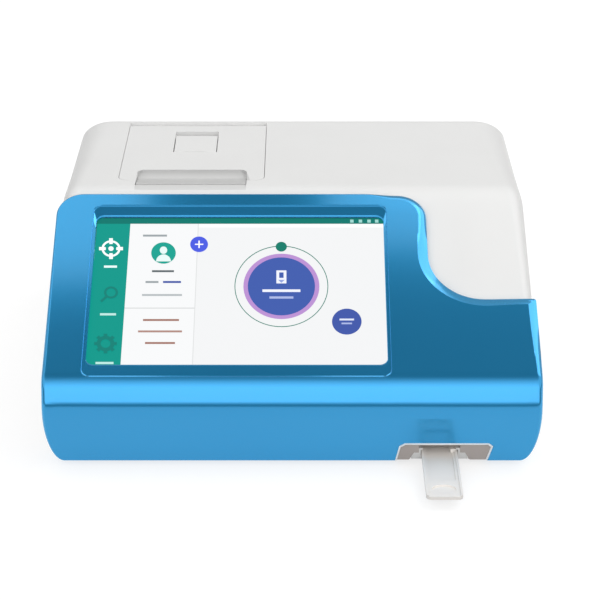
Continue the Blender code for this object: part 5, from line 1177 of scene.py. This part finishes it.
@dataclass
class CarriedForms:
    """Packed forms kept in shape: merged, cut or joined, softened at the edges and finished."""

    edge: float = 0.35 * MM
    crease: float = 32.0
    merge: float = 0.01 * MM

    def carry(self, node: str, material: bpy.types.Material,
              cutters: Sequence[bpy.types.Object] = (),
              added: Sequence[bpy.types.Object] = ()) -> bpy.types.Object:
        """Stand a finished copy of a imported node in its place.

        Args:
            node: the node's name.
            material: the finish.
            cutters: bodies to cut away.
            added: bodies to join.

        Returns:
            The new piece.
        """
        original = frame["nodes"][node]
        form = bmesh.new()
        form.from_mesh(original.data)
        bmesh.ops.remove_doubles(form, verts=form.verts, dist=self.merge)
        bmesh.ops.recalc_face_normals(form, faces=form.faces)
        mesh = bpy.data.meshes.new(f"{node}_finished")
        form.to_mesh(mesh)
        form.free()
        made = link(mesh.name, mesh)
        for others, operation in ((cutters, "DIFFERENCE"), (added, "UNION")):
            carve(made, others, operation, "MANIFOLD")
        with editing(made.data) as form:
            bmesh.ops.dissolve_limit(form, angle_limit=radians(0.5), verts=form.verts,
                                     edges=form.edges)
            log.info("%s: %d faces, %.2f cubic centimetres", made.name, len(form.faces),
                     form.calc_volume(signed=True) * 1e6)
        soften(made, self.edge, self.crease)
        body = Body(body_of(original)[0])
        dress(made, material, body, self.crease)
        weigh(made)
        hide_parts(node)
        return made

    @staticmethod
    def finish_inner(finishes: dict[str, bpy.types.Material]) -> None:
        """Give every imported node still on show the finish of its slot."""
        for part in frame["record"]["subparts"]:
            original = frame["nodes"][part["node"]]
            original.data.materials.clear()
            original.data.materials.append(finishes[part["material_slot"]])
        log.info("inner nodes finished")


@dataclass
class CardPort:
    """What fills the card port's opening in front of the tray's guides: a plate and its bead."""

    centre: float = 77.4 * MM
    half_mouth: float = 10.8 * MM
    mouth_top: float = 9.1 * MM
    notch: float = 4.6 * MM
    notch_out: float = 5.2 * MM
    notch_lean: float = 2.6 * MM
    front: float = 0.9 * MM
    rear: float = 1.6 * MM
    bead: float = 0.55 * MM
    inset: float = 0.35 * MM

    def path(self, port: Sequence[tuple[float, float]]) -> Array:
        """The opening's outline moved inwards, from its left foot over the top to its right."""
        points = np.asarray(port, float)
        middle = points[:, 0].mean()
        points[:, 0] += np.sign(middle - points[:, 0]) * self.inset
        points[:, 1] = np.maximum(points[:, 1] - self.inset, self.inset)
        return points

    def plate(self, port: Sequence[tuple[float, float]],
              material: bpy.types.Material) -> bpy.types.Object:
        """A plate with a mouth for the tray and a notch over each of its guides."""
        half = [(0.0, self.mouth_top), (self.half_mouth, self.mouth_top),
                (self.half_mouth, self.notch), (self.half_mouth + self.notch_lean, self.notch),
                (self.half_mouth + self.notch_out, self.inset)]
        right = [(self.centre + x, z) for x, z in reversed(half)]
        left = [(self.centre - x, z) for x, z in half[1:]]
        made = prism("port_plate", np.vstack([self.path(port), right, left]), self.front,
                     self.rear, 1)
        dress(made, material, Body.CASING, 35.0)
        return made

    def trim(self, port: Sequence[tuple[float, float]],
             material: bpy.types.Material) -> bpy.types.Object:
        """A round bead along the opening: a circle carried along the path, mitred at bends."""
        path = self.path(port)
        legs = np.diff(path, axis=0)
        legs = legs / np.hypot(*legs.T)[:, None]
        before, after = np.vstack([legs[:1], legs]), np.vstack([legs, legs[-1:]])
        out = np.column_stack([-(before + after)[:, 1], (before + after)[:, 0]])
        out = out / (1 + (before * after).sum(axis=1))[:, None]
        turn = np.linspace(0, 2 * pi, 16, endpoint=False)
        flat = path[:, None, :] + self.bead * np.cos(turn)[None, :, None] * out[:, None, :]
        deep = self.front - self.bead * 0.6 + self.bead * np.sin(turn)
        points = np.stack([flat[..., 0], np.broadcast_to(deep, flat.shape[:2]), flat[..., 1]],
                          axis=-1)
        count = len(turn)
        quads = grid_quads(len(path), count, closed=True).tolist()
        last = (len(path) - 1) * count
        return new_piece("port_bead", to_world(points.reshape(-1, 3)),
                         [*quads, list(range(count))[::-1], list(range(last, last + count))],
                         material, Body.CASING, 50.0)


# The display

@dataclass
class Eye:
    """The photograph's eye: where it stands, how far it tips down and its focal length."""

    spot: tuple[float, float, float] = (4.1 * MM, -952.9 * MM, 512.3 * MM)
    tip: float = radians(25.94)
    focal: float = 1882.0
    sensor: float = 36 * MM

    def ray(self, pixels: Array) -> Array:
        """Directions through rows of photograph pixels."""
        pixels = np.asarray(pixels, float)
        across = (pixels[:, 0] - PHOTO_SIZE / 2) / self.focal
        up = (PHOTO_SIZE / 2 - pixels[:, 1]) / self.focal
        return np.column_stack([across, cos(self.tip) + up * sin(self.tip),
                                up * cos(self.tip) - sin(self.tip)])

    def on_plane(self, pixels: Array, point: Array, normal: Array) -> Array:
        """Where the rays through pixels meet a plane."""
        rays = self.ray(pixels)
        reach = ((point - np.array(self.spot)) @ normal) / (rays @ normal)
        return np.array(self.spot) + rays * reach[:, None]

    def camera(self) -> bpy.types.Object:
        """Make the scene's camera."""
        data = bpy.data.cameras.new("photo_camera")
        data.sensor_width = self.sensor / MM
        data.lens = self.focal / PHOTO_SIZE * data.sensor_width
        data.clip_start = 10 * MM
        data.clip_end = 20.0
        made = link("photo_camera", data)
        made.location = self.spot
        made.rotation_euler = (pi / 2 - self.tip, 0, 0)
        bpy.context.scene.camera = made
        return made


@dataclass
class Page:
    """The page on the touch screen, drawn as thin flat shapes a hair above the glass.

    Every shape is an outline in photograph pixels, laid onto the glass plane through the eye.
    """

    eye: Eye
    point: Array
    normal: Array
    lift: float = 0.02 * MM
    points: list[Array] = field(default_factory=list)
    faces: list[Array] = field(default_factory=list)
    colours: list[Array] = field(default_factory=list)
    count: int = 0
    layer: int = 0

    def lay(self, pixels: Array, faces: Iterable[Array], colour: str) -> None:
        """Lay pixels on the glass in one colour, a layer above the last, joined by faces."""
        self.layer += 1
        place = self.point + self.normal * self.lift * self.layer
        self.points.append(self.eye.on_plane(pixels, place, self.normal))
        self.faces += [face + self.count for face in faces]
        self.colours.append(np.tile([*srgb(colour), 1.0], (len(pixels), 1)))
        self.count += len(pixels)

    def shape(self, pixels: Array, colour: str) -> None:
        """Add one convex outline."""
        self.lay(pixels, [np.arange(len(pixels))], colour)

    def band(self, outer: Array, inner: Array, colour: str) -> None:
        """Add a closed band between two outlines of as many points."""
        self.lay(np.vstack([outer, inner]), grid_quads(2, len(outer), closed=True), colour)

    @staticmethod
    def ellipse(x: float, y: float, across: float, high: float | None = None,
                steps: int = 48) -> Array:
        """An ellipse's outline in pixels; a foreshortened circle where no height is given."""
        turn = np.linspace(0, 2 * pi, steps, endpoint=False)
        high = across * ROUND_SEEN if high is None else high
        return np.column_stack([x + across * np.cos(turn), y + high * np.sin(turn)])

    @staticmethod
    def block(left: float, top: float, right: float, bottom: float) -> Array:
        """An upright rectangle's outline in pixels."""
        return np.array([(left, top), (right, top), (right, bottom), (left, bottom)])

    def build(self, material: bpy.types.Material) -> bpy.types.Object:
        """Turn the shapes into one mesh with its colours in an attribute."""
        mesh = bpy.data.meshes.new("screen_page")
        mesh.from_pydata(np.vstack(self.points).tolist(), [],
                         [face.tolist() for face in self.faces])
        layer = mesh.color_attributes.new("page_colour", "FLOAT_COLOR", "POINT")
        layer.data.foreach_set("color", np.vstack(self.colours).ravel())
        mesh.materials.append(material)
        made = link("screen_page", mesh)
        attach(made, Body.CASING.value)
        log.info("%s: %d shapes", made.name, self.layer)
        return made


# The page on the screen

@dataclass
class HomePage(Page):
    """A generic start page: a side bar of tools, a user panel and round action buttons.

    Places are photograph pixels; every sign is a plain geometric one and no text is set.
    """

    corners: tuple[tuple[float, float], ...] = ((97.6, 218.2), (382.9, 217.1), (388.2, 367.2),
                                                (85.0, 367.2))

    def across(self, share: float, low: float, high: float) -> list[tuple[float, float]]:
        """The two pixels at heights low and high on a line a share of the way across."""
        top, bottom = self.corners[0][1], self.corners[3][1]
        line = []
        for level in (low, high):
            down = (level - top) / (bottom - top)
            left = self.corners[0][0] + (self.corners[3][0] - self.corners[0][0]) * down
            right = self.corners[1][0] + (self.corners[2][0] - self.corners[1][0]) * down
            line.append((left + (right - left) * share, level))
        return line

    def panel(self, left: float, right: float, low: float, high: float, colour: str) -> None:
        """A panel between two shares across and two pixel rows."""
        first, second = self.across(left, low, high), self.across(right, low, high)
        self.shape(np.array([first[0], second[0], second[1], first[1]]), colour)

    def bar(self, x: float, y: float, half: float, high: float, colour: str) -> None:
        """A bar by its middle, half its length and half its height."""
        self.shape(self.block(x - half, y - high, x + half, y + high), colour)

    def spokes(self, x: float, y: float, count: int, corners: Array, colour: str) -> None:
        """Blocks spread round a centre, from rows of their corners' angles and reaches."""
        for turn in np.arange(count) * 2 * pi / count:
            swing, reach = turn + corners[0], corners[1]
            self.shape(np.column_stack([x + reach * np.cos(swing),
                                        y + ROUND_SEEN * reach * np.sin(swing)]), colour)

    def tooth_ring(self, x: float, y: float, across: float, teeth: int, colour: str) -> None:
        """A cog: small blocks round a band."""
        self.band(self.ellipse(x, y, across * 0.78), self.ellipse(x, y, across * 0.42), colour)
        reach = across * np.array([0.7, 0.7, 1.0, 1.0])
        self.spokes(x, y, teeth, np.array([(-0.22, 0.22, 0.17, -0.17), reach]), colour)

    def sight(self, x: float, y: float, across: float, colour: str) -> None:
        """A round target with four short marks."""
        self.band(self.ellipse(x, y, across * 0.86), self.ellipse(x, y, across * 0.66), colour)
        self.shape(self.ellipse(x, y, across * 0.24), colour)
        reach = across * np.array([1.1, 1.1, 0.5, 0.5])
        self.spokes(x, y, 4, np.array([(-0.16, 0.16, 0.3, -0.3), reach]), colour)

    def lens(self, x: float, y: float, across: float, colour: str) -> None:
        """A magnifier: a ring with a short handle."""
        middle = (x + 0.2 * across, y - 0.2 * across)
        self.band(self.ellipse(*middle, across * 0.7), self.ellipse(*middle, across * 0.46), colour)
        handle = np.array([(-0.32, 0.1), (-0.14, 0.28), (-0.72, 0.8), (-0.9, 0.62)]) * across
        self.shape(handle + (x, y), colour)

    def disc(self, x: float, y: float, across: float, high: float, colour: str) -> None:
        """A filled round in pixels."""
        self.shape(self.ellipse(x, y, across, high, 64), colour)

    def draw(self) -> None:
        """Lay out the page from the back to the front."""
        top, bottom = self.corners[0][1], self.corners[3][1]
        self.panel(0, 1, top, bottom, "f2f3f4")
        self.panel(0.3545, 1, 224, bottom, "eeeff0")
        self.panel(0.3545, 1, 224, 227.5, "f8f8f8")
        self.panel(0, 0.1165, top, bottom, "009688")
        self.panel(0, 1, top, 223.8, "00756b")
        for share in (0.885, 0.915, 0.945, 0.972):
            self.panel(share, share + 0.012, 219.6, 222.6, "9fd6cf")
        self.panel(0.1165, 0.3545, 307.6, 308.6, "d4d6d6")
        self.panel(0.3525, 0.3555, 223.8, bottom, "dcdede")
        self.sight(111.0, 248.6, 11.0, "ffffff")
        self.lens(109.0, 294.5, 10.0, "0b7f74")
        self.tooth_ring(105.5, 343.6, 11.5, 8, "0b7f74")
        for x, y, half, colour in ((110.5, 266.6, 6.5, "e9fffb"), (108.0, 314.3, 8.0, "bfe8e2"),
                                   (104.5, 363.0, 9.0, "bfe8e2")):
            self.bar(x, y, half, 1.1, colour)
        self.person(163.5, 253.0)
        for x, y, half, colour in ((155, 235.6, 12, "9aa2a6"), (163, 271.2, 11, "5e676b"),
                                   (152, 282.0, 6.5, "9aa2a6"), (172, 282.0, 9, "3f56a6"),
                                   (162, 295.0, 20, "b5bbbe"), (161, 320.0, 18, "a3776b"),
                                   (160, 331.4, 22, "b08a80"), (160, 343.0, 15, "a3776b")):
            self.bar(x, y, half, 1.0, colour)
        self.plus_button(199.1, 244.3)
        middle = (281.4, 286.4)
        self.band(self.ellipse(*middle, 46.9, 40.7, 64), self.ellipse(*middle, 46.1, 39.9, 64),
                  "0a7a68")
        self.disc(281.3, 246.7, 5.6, 4.9, "0a7a68")
        self.disc(*middle, 38.0, 32.7, "b98fd0")
        self.disc(*middle, 33.6, 29.0, "3f5bab")
        self.marks(*middle)
        self.disc(346.8, 321.6, 14.8, 13.0, "3f56a6")
        self.shape(self.block(339.5, 318.6, 354.0, 320.4), "dfe5f7")
        self.shape(self.block(341.5, 322.6, 352.0, 324.2), "aab7e4")

    def person(self, x: float, y: float) -> None:
        """The user sign: a head and shoulders in one flat colour on a disc, without features."""
        self.disc(x, y, 12.3, 10.7, "14a08f")
        turn = np.linspace(0, pi, 17)
        self.shape(np.column_stack([x + 7.4 * np.cos(turn), y + 8.4 - 7.0 * np.sin(turn)]), "e6f6f3")
        self.disc(x, y - 2.8, 3.7, 3.7, "e6f6f3")

    def plus_button(self, x: float, y: float) -> None:
        """A round add button."""
        self.disc(x, y, 8.9, 7.8, "4a5be0")
        self.bar(x, y, 4.2, 0.6, "ffffff")
        self.bar(x, y, 0.7, 3.7, "ffffff")

    def marks(self, x: float, y: float) -> None:
        """The large button's sign: a test card with an arrow above two short bars."""
        self.shape(self.block(x - 5.0, y - 16.0, x + 5.0, y - 3.0), "eef1fb")
        self.shape(self.block(x - 2.2, y - 14.0, x + 2.2, y - 8.5), "3f5bab")
        self.shape(np.array([(x - 3.4, y - 6.6), (x + 3.4, y - 6.6), (x, y - 3.6)]), "8fa0da")
        self.shape(self.block(x - 19.0, y + 3.0, x + 19.0, y + 5.6), "eef1fb")
        self.shape(self.block(x - 12.0, y + 10.0, x + 12.0, y + 12.2), "aab7e4")


# The studio

@dataclass
class Studio:
    """The white floor, the soft surroundings and the lamps."""

    floor_size: float = 8.0
    shadow: float = 0.28
    matt: float = 0.36
    rise: tuple[tuple[float, float], ...] = ((0.0, 0.1), (0.07, 0.14), (0.17, 1.0), (0.5, 1.0),
                                             (0.72, 0.95), (0.94, 0.24), (1.0, 0.19))
    facing: tuple[tuple[float, float], ...] = ((0.0, 0.38), (0.15, 0.5), (0.3, 0.75), (0.5, 1.0),
                                               (0.85, 1.3), (1.0, 2.3))
    lamps: tuple[tuple[Any, ...], ...] = (
        ("overhead left", (-0.71, 0.775, 1.7), (0, 0, 0), (1.0, 1.2), 4.4),
        ("overhead right", (0.54, 0.825, 1.7), (0, 0, 0), (1.0, 1.2), 4.4),
        ("right", (1.15, 0.5, 1.55), (0, radians(38), radians(24)), (1.3, 1.3), 7.5))

    @staticmethod
    def seen(graph: Graph) -> Any:
        """A socket that is 1 on camera, glossy and transmission rays and 0 on others."""
        path = graph.add("LightPath").outputs
        total = path["Is Camera Ray"]
        for name in ("Is Glossy Ray", "Is Transmission Ray"):
            total = graph.math("MAXIMUM", total, path[name])
        return total

    def floor(self) -> None:
        """A floor that is white to the eye apart from the object's shadow.

        A white glow and a matt white are mixed: only the matt share takes the shadow.
        """
        half = self.floor_size / 2
        mesh = bpy.data.meshes.new("floor")
        mesh.from_pydata([(-half, -half, 0), (half, -half, 0), (half, half, 0), (-half, half, 0)],
                         [], [(0, 1, 2, 3)])
        graph = Graph("floor_white")
        matt = graph.add("BsdfDiffuse", {"Color": (self.matt, self.matt, self.matt, 1)})
        share = graph.math("MULTIPLY", self.seen(graph), 1 - self.shadow)
        glow = graph.add("Emission", {"Color": (1, 1, 1, 1), "Strength": share})
        both = graph.add("AddShader", {0: matt.outputs[0], 1: glow.outputs[0]})
        mesh.materials.append(graph.finish(both))
        made = link("floor", mesh)

    def surroundings(self) -> None:
        """A soft room: bright in front, darker overhead and behind."""
        graph = Graph("studio", world=True)
        where = graph.add("SeparateXYZ", {0: graph.add("TexCoord").outputs["Generated"]}).outputs
        front = graph.add("MapRange", {"Value": where["Y"], "From Min": 1.0, "From Max": -1.0})
        levels = [graph.ramp(source, [(at, (level, level, level)) for at, level in stops])
                  for source, stops in ((where["Z"], self.rise),
                                        (front.outputs["Result"], self.facing))]
        light = graph.add("VectorMath", dict(enumerate(levels)), operation="MULTIPLY")
        sky = graph.add("Background", {"Color": light.outputs[0]})
        bpy.context.scene.world = graph.finish(sky)

    @staticmethod
    def lamp(name: str, spot: tuple[float, float, float], turn: tuple[float, float, float],
             size: tuple[float, float], power: float) -> None:
        """A soft rectangular lamp at a spot, facing down until turned."""
        data = bpy.data.lights.new(name, "AREA")
        data.shape = "RECTANGLE"
        data.size, data.size_y = size
        data.energy = power
        made = link(name, data)
        made.location = spot
        made.rotation_euler = turn


def make_finishes(hollow: Hollow) -> dict[str, bpy.types.Material]:
    """The finishes by the record's slots, with two more for the port's own pieces.

    Args:
        hollow: the hollow in the white moulding that gets painted shade.

    Returns:
        Material by slot, or by piece for the two.
    """
    made = {"blue_gloss": PearlBlue().make(), "board": CircuitBoard().make(),
            "paper": PaperFibre().make(),
            "optic": ClearOptic("clear_optic", srgb("d5e6f0")).make(),
            # the white moulding gets painted shade in the paper exit's hollow
            "white_plastic": Moulded("white_moulding", srgb("e6e6e5"), hollow=hollow).make(),
            "screen_glass": Moulded("touch_panel", srgb("20303a"), 0.12, grain_depth=0.0).make()}
    for kind, slot, name, code, roughness in (
            (Moulded, "grey_plastic", "grey_moulding", "c8bfba", 0.5),
            (Moulded, "tray_plastic", "tray_moulding", "f1ede8", 0.38),
            (Moulded, "dark_plastic", "black_moulding", "232425", 0.45),
            (Moulded, "rubber", "black_rubber", "1b1b1b", 0.8),
            (Moulded, "nylon", "natural_nylon", "e9e7df", 0.4),
            # the bead's pale, bluish finish is a painted highlight along the port opening's rim
            (Moulded, "port_bead", "pale_moulding", "eef4f8", 0.3),
            (Moulded, "port_plate", "taupe_moulding", "aea6a2", 0.5),
            (Metal, "steel", "plated_steel", "c2c4c6", 0.32),
            (Metal, "brass", "turned_brass", "c9a25c", 0.32),
            (Metal, "aluminium", "mill_aluminium", "ccced0", 0.4)):
        made[slot] = kind(name, srgb(code), roughness).make()
    return made


def glass_point(normal: Array) -> Array:
    """The point over the touch glass's middle in the plane of its top face."""
    low, high = (np.array(corner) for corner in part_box("touch_glass"))
    middle = (low + high) / 2
    top = (places(frame["nodes"]["touch_glass"].data) @ normal).max()
    return middle + normal * (top - middle @ normal)


def main() -> None:
    """Build every piece in order, then the studio."""
    logging.basicConfig(level=logging.INFO, format="%(message)s")
    shell, cover, forms, port = UpperShell(), FrontCover(), CarriedForms(), CardPort()
    finishes = make_finishes(shell.exit_shade())
    white = finishes["white_plastic"]
    forms.finish_inner(finishes)
    cover.build(finishes["blue_gloss"])
    shell.build(white, cover)
    forms.carry("printer_cover", white, cutters=shell.laps(), added=[shell.tongue()])
    forms.carry("release_tab", white, added=[shell.tab_cap()])
    for node, slot in (("base_shell", "white_plastic"), ("guide_bed", "white_plastic"),
                       ("card_port_bezel", "grey_plastic"), ("card_tray", "tray_plastic")):
        forms.carry(node, finishes[slot])
    port.plate(cover.port, finishes["port_plate"])
    # the bead's pale finish is a painted highlight round the port opening
    port.trim(cover.port, finishes["port_bead"])
    eye = Eye()
    eye.camera()
    normal = np.array([0.0, -sin(shell.slope), cos(shell.slope)])
    page = HomePage(eye, glass_point(normal), normal)
    page.draw()
    page.build(LitPage().make())
    studio = Studio()
    studio.floor()
    studio.surroundings()
    for lamp in studio.lamps:
        studio.lamp(*lamp)
    bpy.context.scene.view_settings.view_transform = "Standard"


if __name__ == "__main__":
    main()
